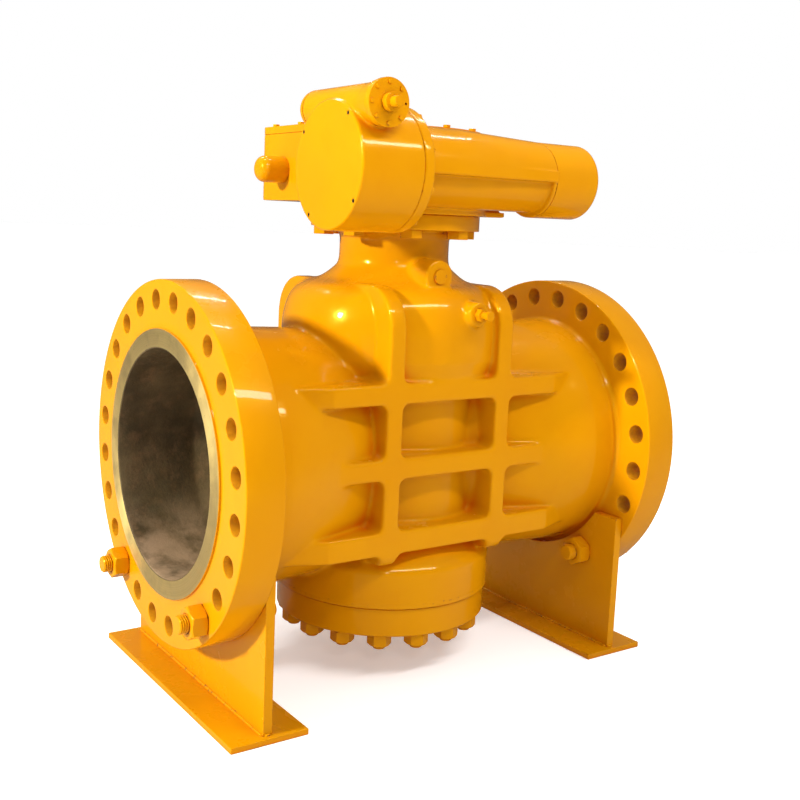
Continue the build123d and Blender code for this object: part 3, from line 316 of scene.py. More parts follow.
def enamel(name, waviness, grain, chips=0.0, shine=0.14):
    """Glossy yellow enamel, over rough casting where grain is high and plate where it is low."""
    s = Surface(name)
    drift = s.ramp(s.noise(3.1, 3.0), 0.35, 0.68)
    blotch = s.ramp(s.noise(17.0, 4.0, 0.6), 0.45, 0.75, 0.0, 0.35)
    colour = s.mix(s.times(drift, 0.55), YELLOW, AMBER)
    colour = s.mix(blotch, colour, AMBER)
    # Painted shade: within 55 mm of other surfaces the paint turns a redder orange, as recesses look
    # in shade.
    crevice = s.ramp(s.hollow(55 * MM), 0.20, 0.70, 0.72, 0.0)
    colour = s.mix(crevice, colour, PAINTED_SHADE_RED)
    # Partly dirt and partly painted shade: corners within 9 mm of other surfaces go dark brown where a
    # noise allows.
    corner = s.ramp(s.hollow(9 * MM), 0.25, 0.60, 0.75, 0.0)
    dirt_and_corner_shade = s.times(corner, s.ramp(s.noise(38.0, 4.0, 0.65), 0.42, 0.62))
    colour = s.mix(dirt_and_corner_shade, colour, DIRT_AND_SHADE)
    if chips:
        edge = s.add(
            "ShaderNodeAmbientOcclusion",
            {"Distance": 7 * MM},
            output="AO",
            samples=6,
            inside=True,
        )
        worn = s.ramp(edge, 0.45, 0.80, 1.0, 0.0)
        spots = s.ramp(s.noise(70.0, 5.0, 0.7), 0.57, 0.63, 0.0, chips)
        colour = s.mix(s.times(worn, spots), colour, PRIMER)
    dusty = s.times(s.ramp(s.upward(), 0.35, 0.95), s.ramp(s.noise(9.0, 5.0), 0.35, 0.75))
    gloss = s.ramp(s.noise(6.0, 4.0, 0.6), 0.3, 0.7, shine, shine + 0.10)
    rough = s.add("ShaderNodeMath", {0: s.times(dusty, 0.12), 1: gloss}, operation="ADD")
    wave = s.bump(s.noise(13.0, 2.0, 0.45), waviness * MM, 0.5)
    cast = s.bump(s.noise(75.0, 3.0, 0.5), grain * MM, 0.45, wave)
    peel = s.bump(s.noise(310.0, 2.0, 0.5), 0.12 * MM, 0.35, cast)
    s.set(Base_Color=colour, Roughness=rough, Normal=peel)
    s.set(IOR=1.42, Specular_IOR_Level=0.30, Specular_Tint=GLINT)
    s.set(Coat_Weight=0.38, Coat_Roughness=0.03, Coat_IOR=1.42)
    return s.material


def turned_steel(name, colour, grooves, axis_scale, rust=0.0, rough=0.28):
    """Bare machined steel with the fine lines of a lathe tool along axis_scale."""
    s = Surface(name)
    lines = s.noise(grooves, 2.0, 0.6, s.stretched(axis_scale))
    tone = s.ramp(lines, 0.3, 0.7, 0.82, 1.08)
    stain = s.ramp(s.noise(14.0, 5.0, 0.65), 0.5, 0.75, 0.0, rust)
    shade_of = tuple(c * 0.8 for c in colour[:3]) + (1,)
    base = s.mix(s.ramp(tone, 0.85, 1.05), shade_of, colour)
    base = s.mix(stain, base, (0.16, 0.07, 0.03, 1))
    # Painted shade: corners within 12 mm of other surfaces darken towards dark brown.
    painted_corner_shade = s.ramp(s.hollow(12 * MM), 0.25, 0.6, 0.6, 0.0)
    base = s.mix(painted_corner_shade, base, DIRT_AND_SHADE)
    s.set(Base_Color=base, Metallic=1.0, IOR=1.5)
    s.set(Roughness=s.ramp(s.noise(22.0, 4.0), 0.3, 0.7, rough, rough + 0.16))
    s.set(Normal=s.bump(lines, 0.08 * MM, 0.5))
    return s.material


def raised_face_steel():
    """The end faces: steel turned with a spiral of fine grooves round the pipe's axis."""
    s = Surface("raised_face_steel")
    split = s.tree.nodes.new("ShaderNodeSeparateXYZ")
    s.feed(split.inputs[0], s.place)
    lift = s.add("ShaderNodeMath", {0: split.outputs["Z"], 1: PIPE_Z}, operation="SUBTRACT")
    flat = s.add("ShaderNodeCombineXYZ", {"Y": split.outputs["Y"], "Z": lift})
    radius = s.add("ShaderNodeVectorMath", {0: flat}, output="Value", operation="LENGTH")
    turns = s.times(radius, 2 * math.pi / (1.6 * MM))
    groove = s.add("ShaderNodeMath", {0: turns}, operation="SINE")
    band = s.noise(1.0, 3.0, 0.6, s.add("ShaderNodeCombineXYZ", {"X": s.times(radius, 160.0)}))
    tone = s.ramp(band, 0.3, 0.7, 0.0, 0.6)
    # The warm gold of these two steel colours is a painted yellow reflection, laid over the steel's
    # own bands of tone.
    base = s.mix(tone, (0.90, 0.66, 0.30, 1), (0.70, 0.49, 0.20, 1))
    smear = s.ramp(s.noise(8.0, 5.0, 0.62), 0.5, 0.72, 0.0, 0.45)
    base = s.mix(smear, base, (0.40, 0.27, 0.14, 1))
    speck = s.ramp(s.noise(90.0, 5.0, 0.7), 0.62, 0.72, 0.0, 0.5)
    base = s.mix(speck, base, (0.16, 0.09, 0.05, 1))
    around_pipe = s.add("ShaderNodeTangent", {}, direction_type="RADIAL", axis="X")
    s.set(Base_Color=base, Metallic=0.95, IOR=1.5, Anisotropic=0.55, Tangent=around_pipe)
    s.set(Anisotropic_Rotation=0.25)
    s.set(Roughness=s.ramp(s.noise(12.0, 4.0), 0.3, 0.7, 0.40, 0.52))
    s.set(Normal=s.bump(groove, 0.05 * MM, 0.35))
    return s.material


def bore_scale():
    """The inside of the pipe bores: primer-brown scale, mottled, with pale dust lying low."""
    s = Surface("bore_scale")
    mottle = s.ramp(s.noise(7.0, 5.0, 0.62), 0.32, 0.70)
    base = s.mix(mottle, (0.056, 0.035, 0.016, 1), (0.116, 0.074, 0.036, 1))
    bloom = s.ramp(s.noise(23.0, 6.0, 0.7), 0.48, 0.70, 0.0, 0.5)
    base = s.mix(bloom, base, (0.170, 0.090, 0.045, 1))
    green = s.ramp(s.noise(4.0, 4.0, 0.6), 0.5, 0.7, 0.0, 0.45)
    base = s.mix(green, base, (0.060, 0.058, 0.030, 1))
    low = s.ramp(s.upward(), 0.45, 1.0)
    dust = s.times(low, s.ramp(s.noise(11.0, 5.0, 0.6, distortion=0.2), 0.28, 0.62, 0.0, 0.65))
    base = s.mix(dust, base, (0.46, 0.290, 0.190, 1))
    s.set(Base_Color=base, Metallic=0.0, IOR=1.4, Specular_IOR_Level=0.3)
    s.set(Roughness=s.ramp(s.noise(30.0, 5.0, 0.6), 0.3, 0.7, 0.42, 0.78))
    pits = s.bump(s.noise(120.0, 5.0, 0.65), 1.4 * MM, 0.7)
    s.set(Normal=s.bump(s.noise(14.0, 3.0), 3.0 * MM, 0.5, pits))
    return s.material


def hole_wall():
    """The walls of the bolt holes: primer and old grease under thin overspray."""
    s = Surface("bolt_hole_primer")
    tone = s.ramp(s.noise(34.0, 5.0, 0.65), 0.35, 0.68)
    base = s.mix(tone, (0.46, 0.180, 0.003, 1), (0.64, 0.270, 0.003, 1))
    s.set(Base_Color=base, IOR=1.4, Specular_IOR_Level=0.3)
    s.set(Roughness=s.ramp(s.noise(60.0, 4.0), 0.3, 0.7, 0.45, 0.75))
    s.set(Normal=s.bump(s.noise(260.0, 3.0, 0.6), 0.4 * MM, 0.5))
    return s.material


def dull_metal(name, colour, rough, metallic=1.0, grain=0.3):
    """Dark, bronze or bearing metal with uneven tone and fine grain."""
    s = Surface(name)
    tone = s.ramp(s.noise(26.0, 5.0, 0.62), 0.3, 0.72)
    dark = tuple(c * 0.55 for c in colour[:3]) + (1,)
    base = s.mix(tone, dark, colour)
    # Painted shade: corners within 8 mm of other surfaces darken to near black.
    painted_corner_shade = s.ramp(s.hollow(8 * MM), 0.25, 0.6, 0.7, 0.0)
    s.set(Base_Color=s.mix(painted_corner_shade, base, (0.02, 0.015, 0.01, 1)), Metallic=metallic, IOR=1.5)
    s.set(Roughness=s.ramp(s.noise(40.0, 4.0), 0.3, 0.7, rough, rough + 0.2))
    s.set(Normal=s.bump(s.noise(420.0, 3.0, 0.6), grain * MM, 0.4))
    return s.material


def graphite():
    """Braided packing and gaskets."""
    s = Surface("graphite_packing")
    weave = s.add("ShaderNodeTexVoronoi", {"Vector": s.place, "Scale": 260.0})
    base = s.mix(s.ramp(weave, 0.1, 0.6), (0.075, 0.072, 0.068, 1), (0.018, 0.018, 0.018, 1))
    s.set(Base_Color=base, Roughness=0.72, IOR=1.45, Normal=s.bump(weave, 0.9 * MM, 0.7))
    return s.material


CAST_ENAMEL = enamel("cast_enamel", waviness=2.6, grain=0.35)
FLANGE_ENAMEL = enamel("flange_enamel", waviness=0.7, grain=0.08, chips=0.8, shine=0.17)
OPERATOR_ENAMEL = enamel("operator_enamel", waviness=1.2, grain=0.18, chips=0.35, shine=0.13)
PLATE_ENAMEL = enamel("plate_enamel", waviness=0.9, grain=0.10, chips=0.9, shine=0.2)
FASTENER_ENAMEL = enamel("fastener_enamel", waviness=0.4, grain=0.12, chips=0.7, shine=0.18)
RAISED_FACE = raised_face_steel()
BORE_SCALE = bore_scale()
HOLE_WALL = hole_wall()
PLUG_STEEL = turned_steel("plug_steel", (0.52, 0.50, 0.47, 1), 60.0, (1, 1, 30), rust=0.6)
BEARING_STEEL = turned_steel("bearing_steel", (0.72, 0.71, 0.70, 1), 40.0, (8, 1, 1), rough=0.14)
DARK_STEEL = dull_metal("oil_black_steel", (0.16, 0.12, 0.085, 1), 0.36)
BRONZE = dull_metal("bearing_bronze", (0.72, 0.47, 0.22, 1), 0.26)
GRAPHITE = graphite()

SLOT_MATERIALS = {
    "valve_paint": FLANGE_ENAMEL,
    "operator_paint": OPERATOR_ENAMEL,
    "support_paint": PLATE_ENAMEL,
    "fastener_paint": FASTENER_ENAMEL,
    "shaft_paint": OPERATOR_ENAMEL,
    "fitting_paint": FASTENER_ENAMEL,
    "plug_steel": PLUG_STEEL,
    "bearing_steel": BEARING_STEEL,
    "dark_steel": DARK_STEEL,
    "bronze": BRONZE,
    "packing": GRAPHITE,
}


# ---------------------------------------------------------------- the cast body
BODY_VOXEL = 4.6 * MM
BODY_SMOOTHING = 14
MOST_TRIANGLES = 195_000
SPARE_LENGTH = 26 * MM
PASSAGE_X = (150 * MM, 500 * MM)
PORT_HALF_Y = 118 * MM
PORT_HALF_Z = 240 * MM
ROUND_HALF = 300 * MM
PASSAGE_SWELL_Y = 60 * MM
PASSAGE_SWELL_Z = 30 * MM
PASSAGE_MARGIN = 1.18
SEAT_R = 214 * MM
POCKET_BELOW = 12 * MM
POCKET_ABOVE = 110 * MM


def remeshed(obj, voxel, rounds):
    """Rounds every corner of a closed mesh, as a casting's are, and thins it where it is plain."""
    remesh = obj.modifiers.new("cast", "REMESH")
    remesh.mode = "VOXEL"
    remesh.voxel_size = voxel
    soften = obj.modifiers.new("soften", "SMOOTH")
    soften.factor = 0.5
    soften.iterations = rounds
    applied(obj)
    triangles = 2 * len(obj.data.polygons)
    if triangles > MOST_TRIANGLES:
        thin = obj.modifiers.new("thin", "DECIMATE")
        thin.ratio = MOST_TRIANGLES / triangles
        applied(obj)
    return obj


def vertex_array(mesh):
    flat = np.empty(3 * len(mesh.vertices))
    mesh.vertices.foreach_get("co", flat)
    return flat.reshape(-1, 3)


def clear_of_plug(mesh, gap=1.5 * MM):
    """Moves the plug's seat and pocket out from the plug, which turns in them."""
    points = vertex_array(mesh)
    radius = np.hypot(points[:, 0], points[:, 1])
    low, high = PLUG_Z
    level = (points[:, 2] > low - POCKET_BELOW) & (points[:, 2] < high + POCKET_ABOVE)
    inside = (radius < SEAT_R) & level
    points[inside, :2] *= (1 + gap / radius[inside])[:, None]
    mesh.vertices.foreach_set("co", points.ravel())
    mesh.update()


def face_centres(mesh):
    flat = np.empty(3 * len(mesh.polygons))
    mesh.polygons.foreach_get("center", flat)
    return flat.reshape(-1, 3)


def make_cast_body():
    """The casting between its end flanges, with soft edges to its ribs, bulkheads and shoulder."""
    body = node_copy("cast_body", ["body_casting"])
    for side in (-1, 1):
        cut(body, (side * (FLANGE_BACK - 1 * MM), 0, 0), (side, 0, 0))
        grow_cut(body, side, SPARE_LENGTH)
    cut(body, (0, 0, TOP_FLANGE_Z[0] + 12 * MM), (0, 0, 1))
    cut(body, (0, 0, SPLIT_Z + 6 * MM), (0, 0, -1))
    remeshed(body, BODY_VOXEL, BODY_SMOOTHING)
    for side in (-1, 1):
        cut(body, (side * CAST_END, 0, 0), (side, 0, 0))
    cut(body, (0, 0, TOP_FLANGE_Z[0] - 4 * MM), (0, 0, 1))
    cut(body, (0, 0, BOSS_RIM_TOP - 8 * MM), (0, 0, -1))
    clear_of_plug(body.data)
    shade(body.data, math.radians(60))
    body.data.materials.append(CAST_ENAMEL)
    body.data.materials.append(BORE_SCALE)
    centres = face_centres(body.data)
    across = np.hypot(centres[:, 1], centres[:, 2] - PIPE_Z)
    in_passage = (across < BORE_R + 6 * MM) & (np.abs(centres[:, 0]) > 120 * MM)
    out_from_stem = np.hypot(centres[:, 0], centres[:, 1])
    in_seat = (out_from_stem < SEAT_R + 2 * MM) & (centres[:, 2] < PLUG_Z[1] + 140 * MM)
    inner = (in_passage & inside_wall(centres)) | in_seat
    body.data.polygons.foreach_set("material_index", inner.astype(np.int32))
    return ride(body, replaces=["body_casting"])


def inside_wall(centres):
    """Marks face centres that lie within the flow passage rather than on the outer skin."""
    start, end = PASSAGE_X
    along = np.abs(centres[:, 0])
    share = np.clip((along - start) / (end - start), 0, 1)
    half_y = passage_half(share, PORT_HALF_Y, PASSAGE_SWELL_Y)
    half_z = passage_half(share, PORT_HALF_Z, PASSAGE_SWELL_Z)
    level = (centres[:, 1] / half_y) ** 2 + ((centres[:, 2] - PIPE_Z) / half_z) ** 2
    return level < PASSAGE_MARGIN


def passage_half(share, port_half, swell):
    """The passage's half width between the port, at share 0, and the round bore, at share 1."""
    return port_half + share * (ROUND_HALF - port_half) + swell * share * (1 - share)


def grow_cut(obj, side, length):
    """Draws the closed cut at one end out along the pipe, so that smoothing can't reach the body."""
    work = bmesh.new()
    work.from_mesh(obj.data)
    work.normal_update()
    edge = FLANGE_BACK - 1.5 * MM
    faces = []
    for face in work.faces:
        if side * face.calc_center_median().x > edge and abs(face.normal.x) > 0.9:
            faces.append(face)
    grown = bmesh.ops.extrude_face_region(work, geom=faces)
    verts = [v for v in grown["geom"] if isinstance(v, bmesh.types.BMVert)]
    bmesh.ops.translate(work, verts=verts, vec=(side * length, 0, 0))
    bmesh.ops.delete(work, geom=faces, context="FACES_ONLY")
    work.to_mesh(obj.data)
    work.free()


# ---------------------------------------------------------------- drilled discs
ARC_STEPS = 8
SIDE_STEPS = 6
HOLE_EDGE = 1.8 * MM


def sector_rim(inner, outer, middle, half):
    """Radius and angle of points round one hole's share of a flange face."""
    arc_share = [i / ARC_STEPS for i in range(ARC_STEPS)]
    side_share = [i / SIDE_STEPS for i in range(SIDE_STEPS)]
    rim = [(outer, middle - half + 2 * half * t) for t in arc_share]
    rim += [(outer + (inner - outer) * t, middle + half) for t in side_share]
    rim += [(inner, middle + half - 2 * half * t) for t in arc_share]
    rim += [(inner + (outer - inner) * t, middle - half) for t in side_share]
    return rim


def towards_hole(rim, pitch, middle, hole_r, share):
    """Points between the rim, at share 0, and the edge of the hole, at share 1."""
    centre = Vector((pitch * math.cos(middle), pitch * math.sin(middle)))
    points = []
    for radius, angle in rim:
        start = Vector((radius * math.cos(angle), radius * math.sin(angle)))
        end = centre + (start - centre).normalized() * hole_r
        at = start.lerp(end, share)
        points.append((at.length, math.atan2(at.y, at.x)))
    return points


def hole_rings(place, front, back, pitch, middle, half, hole_r):
    """Rings from the front rim of one hole's sector, through the hole, to the back rim."""
    rings = []
    front_rim = sector_rim(front[0], front[1], middle, half)
    back_rim = sector_rim(back[0], back[1], middle, half)
    depth, far = front[2], back[2]
    inwards = 1 if far > depth else -1
    wide = hole_r + HOLE_EDGE
    for share in (0.0, 0.45, 0.85):
        ring = towards_hole(front_rim, pitch, middle, wide, share)
        rings.append([place(r, a, depth) for r, a in ring])
    turns = [math.radians(30 * step) for step in range(4)]
    for face, way, order in ((depth, inwards, turns), (far, -inwards, turns[::-1])):
        for turn in order:
            narrower = wide - HOLE_EDGE * math.sin(turn)
            ring = towards_hole(front_rim, pitch, middle, narrower, 1.0)
            lift = HOLE_EDGE * (1 - math.cos(turn))
            rings.append([place(r, a, face + way * lift) for r, a in ring])
    flat_back = towards_hole(front_rim, pitch, middle, wide, 1.0)
    for share in (0.5, 1.0):
        ring = []
        for (r0, a0), (r1, a1) in zip(flat_back, back_rim):
            start = Vector((r0 * math.cos(a0), r0 * math.sin(a0)))
            end = Vector((r1 * math.cos(a1), r1 * math.sin(a1)))
            at = start.lerp(end, share)
            ring.append(place(at.length, math.atan2(at.y, at.x), far))
        rings.append(ring)
    return rings


def drilled_disc(name, place, holes, pitch, hole_r, front, back, outside, inside):
    """A closed ring with bolt holes, the first one half a spacing from angle 0.

    front and back are (inner radius, outer radius, depth), and outside and inside are
    (radius, depth) profiles from the front face to the back face.
    """
    skin = Skin()
    half = math.pi / holes
    for k in range(holes):
        middle = half + 2 * half * k
        skin.tube(hole_rings(place, front, back, pitch, middle, half, hole_r))
    steps = holes * ARC_STEPS
    angles = [2 * math.pi * i / steps for i in range(steps)]
    outside = [(front[1], front[2])] + outside + [(back[1], back[2])]
    inside = [(front[0], front[2])] + inside + [(back[0], back[2])]
    for profile in (outside, inside):
        skin.tube([[place(r, a, d) for a in angles] for r, d in profile])
    return skin.build(name)


def make_end_flange(side, name):
    """A raised-face end flange with the stub of the nozzle behind it."""
    corner = 3.5 * MM
    front = (RAISED_R + 1.5 * MM, FLANGE_R - corner, FLANGE_FRONT)
    back = (NOZZLE_R + HUB_FILLET, FLANGE_R - corner, FLANGE_BACK)
    outside = arc((FLANGE_R - corner, FLANGE_FRONT - corner), corner, 72, 0, 3)
    outside += arc((FLANGE_R - corner, FLANGE_BACK + corner), corner, 0, -72, 3)
    inside = [(RAISED_R + 0.3 * MM, FLANGE_FRONT + 0.5 * MM)]
    inside += [(RAISED_R, FLANGE_FRONT + 1.8 * MM), (RAISED_R, FACE_X - 1 * MM)]
    inside += [(RAISED_R - 1 * MM, FACE_X), (RAISED_R - 20 * MM, FACE_X)]
    inside += [(BORE_R + 20 * MM, FACE_X), (BORE_R + 3 * MM, FACE_X)]
    inside += arc((BORE_R + 3 * MM, FACE_X - 3 * MM), 3 * MM, 120, 180, 2)
    inside += [(BORE_R, FACE_X - 40 * MM), (BORE_R - 0.4 * MM, COLLAR_START)]
    inside += [(NOZZLE_R - 1.6 * MM, COLLAR_START), (NOZZLE_R - 0.2 * MM, COLLAR_START + 10 * MM)]
    hub = (NOZZLE_R + HUB_FILLET, FLANGE_BACK - HUB_FILLET)
    inside += arc(hub, HUB_FILLET, 180, 105, 5)
    flange = drilled_disc(
        name, along_x(side), FLANGE_HOLES, FLANGE_PITCH, FLANGE_HOLE_R[side],
        front, back, outside, inside,
    )
    for material in (FLANGE_ENAMEL, RAISED_FACE, BORE_SCALE, HOLE_WALL):
        flange.data.materials.append(material)
    centres = face_centres(flange.data)
    across = np.hypot(centres[:, 1], centres[:, 2] - PIPE_Z)
    on_face = (np.abs(centres[:, 0]) > FACE_X - 0.2 * MM) & (across < RAISED_R)
    in_bore = across < BORE_R + 2.8 * MM
    marks = on_face.astype(np.int32) + 2 * (in_bore & ~on_face).astype(np.int32)
    marks[in_bolt_holes(centres)] = 3
    flange.data.polygons.foreach_set("material_index", marks)
    return ride(flange, replaces=["body_casting"])


def in_bolt_holes(centres):
    """Marks face centres on the walls of an end flange's bolt holes."""
    angle = np.arctan2(centres[:, 1], centres[:, 2] - PIPE_Z)
    step = 2 * math.pi / FLANGE_HOLES
    middle = (np.floor(angle / step) + 0.5) * step
    y = centres[:, 1] - FLANGE_PITCH * np.sin(middle)
    z = centres[:, 2] - PIPE_Z - FLANGE_PITCH * np.cos(middle)
    depth = FLANGE_FRONT - np.abs(centres[:, 0])
    within = (depth > 3 * MM) & (depth < FLANGE_FRONT - FLANGE_BACK - 3 * MM)
    return within & (np.hypot(y, z) < FLANGE_HOLE_R[1] + 0.5 * MM)


def make_operator_flange():
    """The round flange on top of the neck that the gear operator is bolted to."""
    corner = 2.5 * MM
    low, high = TOP_FLANGE_Z
    front = (GLAND_RECESS_R + 1 * MM, TOP_FLANGE_R - corner, high)
    back = (NECK_TOP_R + 10 * MM, TOP_FLANGE_R - corner, low)
    outside = arc((TOP_FLANGE_R - corner, high - corner), corner, 72, 0, 3)
    outside += arc((TOP_FLANGE_R - corner, low + corner), corner, 0, -72, 3)
    inside = [(GLAND_RECESS_R, high - 1 * MM), (GLAND_RECESS_R, low - 10 * MM)]
    inside += [(NECK_TOP_R - 3 * MM, low - 10 * MM)]
    inside += arc((NECK_TOP_R + 10 * MM, low - 10 * MM), 10 * MM, 175, 105, 4)
    flange = drilled_disc(
        "operator_flange", along_z(), TOP_FLANGE_HOLES, TOP_FLANGE_PITCH, TOP_FLANGE_HOLE_R,
        front, back, outside, inside,
    )
    flange.data.materials.append(FLANGE_ENAMEL)
    return ride(flange, replaces=["body_casting"])


def make_boss_rim():
    """The machined rim of the body's bottom opening, where the cover is bolted on."""
    corner = 4 * MM
    front = (COVER_BORE_R + 1 * MM, BOSS_R - corner, SPLIT_Z)
    back = (COVER_BORE_R + 1 * MM, BOSS_R - 8 * MM, BOSS_RIM_TOP)
    outside = arc((BOSS_R - corner, SPLIT_Z + corner), corner, -72, 0, 3)
    outside += [(BOSS_R, BOSS_RIM_TOP - 12 * MM), (BOSS_R - 0.9 * MM, BOSS_RIM_TOP - 1 * MM)]
    inside = [(COVER_BORE_R, SPLIT_Z + 1 * MM), (COVER_BORE_R, BOSS_RIM_TOP - 1 * MM)]
    rim = drilled_disc(
        "bottom_boss_rim", along_z(), COVER_STUDS, COVER_PITCH, COVER_STUD_R,
        front, back, outside, inside,
    )
    rim.data.materials.append(FLANGE_ENAMEL)
    return ride(rim, replaces=["body_casting"])


# ---------------------------------------------------------------- the operator's castings
CASE_VOXEL = 3.0 * MM
CASE_SMOOTHING = 5


def make_operator_casting(name, node):
    """A gear case casting with small rounded edges."""
    case = node_copy(name, [node])
    remeshed(case, CASE_VOXEL, CASE_SMOOTHING)
    shade(case.data, math.radians(60))
    case.data.materials.append(OPERATOR_ENAMEL)
    return ride(case, replaces=[node])


# ---------------------------------------------------------------- fasteners
HEX_STEPS = 72
THREAD_STEPS = 28


def hex_radius(angle, flats):
    """Distance from the centre to a hexagon's side at an angle."""
    turn = (angle + math.pi / 6) % (math.pi / 3) - math.pi / 6
    return flats / 2 / math.cos(turn)


def add_nut(skin, place, flats, bore, start, end):
    """A hexagon nut with both ends chamfered round its corners, between two depths."""
    height = abs(end - start)
    way = 1 if end > start else -1
    angles = [2 * math.pi * i / HEX_STEPS for i in range(HEX_STEPS)]
    slope = math.tan(math.radians(30))
    face_r = flats / 2 * 0.95
    tallest = (flats / 2 / math.cos(math.pi / 6) - face_r) * slope
    levels = [tallest * i / 4 for i in range(5)]
    levels += [height - tallest * i / 4 for i in range(4, -1, -1)]
    rings = []
    for level in levels:
        cone = face_r + min(level, height - level) / slope
        at = start + way * level
        rings.append([place(min(hex_radius(a, flats), cone), a, at) for a in angles])
    lip = bore * 1.06
    rings.append([place(lip, a, end) for a in angles])
    rings.append([place(bore, a, end - way * 0.06 * bore) for a in angles])
    rings.append([place(bore, a, start + way * 0.06 * bore) for a in angles])
    rings.append([place(lip, a, start) for a in angles])
    skin.tube(rings, closed=True)


def add_threaded_end(skin, place, radius, pitch, start, end):
    """A stud's end with a screw thread cut round it and a chamfered tip at end."""
    way = 1 if end > start else -1
    length = abs(end - start)
    angles = [2 * math.pi * i / THREAD_STEPS for i in range(THREAD_STEPS)]
    depth = 0.55 * pitch
    steps = max(4, round(4 * length / pitch))
    rings = [[place(radius * 0.3, a, start) for a in angles]]
    for i in range(steps + 1):
        level = length * i / steps
        ring = []
        for angle in angles:
            phase = (level / pitch + angle / (2 * math.pi)) % 1
            crest = radius - depth * abs(2 * phase - 1)
            tip = radius - depth * 1.2 + (length - level)
            ring.append(place(min(crest, tip), angle, start + way * level))
        rings.append(ring)
    made = skin.tube(rings)
    skin.cap(made[0])
    skin.cap(made[-1])


def around(count, pitch):
    """Places round a vertical axis, the first one half a spacing from angle 0."""
    for k in range(count):
        angle = (2 * k + 1) * math.pi / count
        yield pitch * math.cos(angle), pitch * math.sin(angle)


def across_x(side, y, z):
    """Maps a radius, an angle and a distance out along the pipe, round an axis at y and z."""
    def place(radius, angle, depth):
        return (side * depth, y + radius * math.cos(angle), z + radius * math.sin(angle))
    return place


def make_support_fasteners():
    """Studs and heavy hex nuts that hold the supports to the end flanges."""
    nuts, studs = Skin(), Skin()
    outer_nut = (FLANGE_FRONT, FLANGE_FRONT + SUPPORT_NUT_HEIGHT)
    web_back = FLANGE_BACK - SUPPORT_WEB_THICK
    inner_nut = (web_back, web_back - SUPPORT_NUT_HEIGHT)
    half_nut = SUPPORT_NUT_HEIGHT / 2
    tip = stud_high.x
    inner_tip = inner_nut[1] - (tip - outer_nut[1])
    for side in (-1, 1):
        for y, z in SUPPORT_STUD_SPOTS:
            place = across_x(side, y, z)
            ends = ((outer_nut, outer_nut[0] + half_nut, tip),
                    (inner_nut, inner_nut[0] - half_nut, inner_tip))
            for nut, start, end in ends:
                add_nut(nuts, place, SUPPORT_NUT_FLATS, SUPPORT_STUD_R, nut[0], nut[1])
                add_threaded_end(studs, place, SUPPORT_STUD_R, SUPPORT_THREAD, start, end)
    painted_set("flange_stud_nuts", nuts, ["support_nuts"])
    painted_set("flange_stud_threads", studs, ["support_studs"])


def make_cover_fasteners():
    """Studs and nuts under the bottom cover."""
    nuts, studs = Skin(), Skin()
    top = cover_low.z
    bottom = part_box("cover_nuts")[0].z
    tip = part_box("cover_studs")[0].z
    for x, y in around(COVER_STUDS, COVER_PITCH):
        place = along_z(x, y)
        add_nut(nuts, place, COVER_NUT_FLATS, COVER_STUD_R, top, bottom)
        add_threaded_end(studs, place, COVER_STUD_R, COVER_THREAD, top - 4 * MM, tip)
    painted_set("cover_stud_nuts", nuts, ["cover_nuts"])
    painted_set("cover_stud_threads", studs, ["cover_studs"])


def painted_set(name, skin, nodes):
    """One visible piece that stands for a whole set of nuts or studs."""
    obj = skin.build(name)
    obj.data.materials.append(FASTENER_ENAMEL)
    return ride(obj, replaces=nodes)


# ---------------------------------------------------------------- welds on the supports
BEAD_R = 5.5 * MM
BEAD_RIPPLE = 7 * MM
BEAD_STEPS = 10


def add_bead(skin, start, end, seed):
    """A fillet weld from one point to another, with a ripple for each puddle."""
    start, end = Vector(start), Vector(end)
    length = (end - start).length
    ahead = (end - start).normalized()
    side = ahead.orthogonal().normalized()
    other = ahead.cross(side)
    draw = np.random.default_rng(seed)
    count = int(length / BEAD_RIPPLE * 4)
    wobble = draw.normal(0, 0.05, count + 1)
    rings = []
    for i in range(count + 1):
        phase = (i / 4) % 1
        swell = 0.90 + 0.13 * math.sin(math.pi * phase) + wobble[i] * 0.5
        taper = min(1.0, 0.35 + 0.25 * min(i, count - i))
        radius = BEAD_R * swell * taper
        centre = start + ahead * (length * i / count)
        ring = []
        for k in range(BEAD_STEPS):
            angle = 2 * math.pi * k / BEAD_STEPS
            point = centre + side * (radius * math.cos(angle)) + other * (radius * math.sin(angle))
            ring.append(tuple(point))
        rings.append(ring)
    made = skin.tube(rings)
    skin.cap(made[0])
    skin.cap(made[-1])


def make_support_welds():
    """The fillet welds between each upright plate and its foot."""
    skin = Skin()
    for seed, side in enumerate(("left", "right")):
        low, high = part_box(f"{side}_support_web")
        inset = 4 * MM
        for k, x in enumerate((low.x, high.x)):
            start = (x, low.y + inset, low.z)
            end = (x, high.y - inset, low.z)
            add_bead(skin, start, end, 10 * seed + k)
        for k, y in enumerate((low.y, high.y)):
            start = (low.x + inset, y, low.z)
            end = (high.x - inset, y, low.z)
            add_bead(skin, start, end, 10 * seed + 4 + k)
    welds = skin.build("support_welds")
    welds.data.materials.append(PLATE_ENAMEL)
    return ride(welds)


# ---------------------------------------------------------------- CAD nodes that stay
EDGE_WIDTHS = {
    "bottom_cover": 3.0,
    "left_support_web": 1.6,
    "right_support_web": 1.6,
    "left_support_foot": 2.0,
    "right_support_foot": 2.0,
    "housing_lid": 2.5,
    "worm_end_cap": 1.6,
    "input_cap": 1.2,
    "adjuster_cap": 2.0,
    "operator_bolts": 1.5,
    "body_sealant_fitting": 0.8,
    "neck_plug": 0.8,
    "stop_caps": 1.5,
    "stop_lock_nuts": 1.2,
}
USUAL_EDGE = 0.6


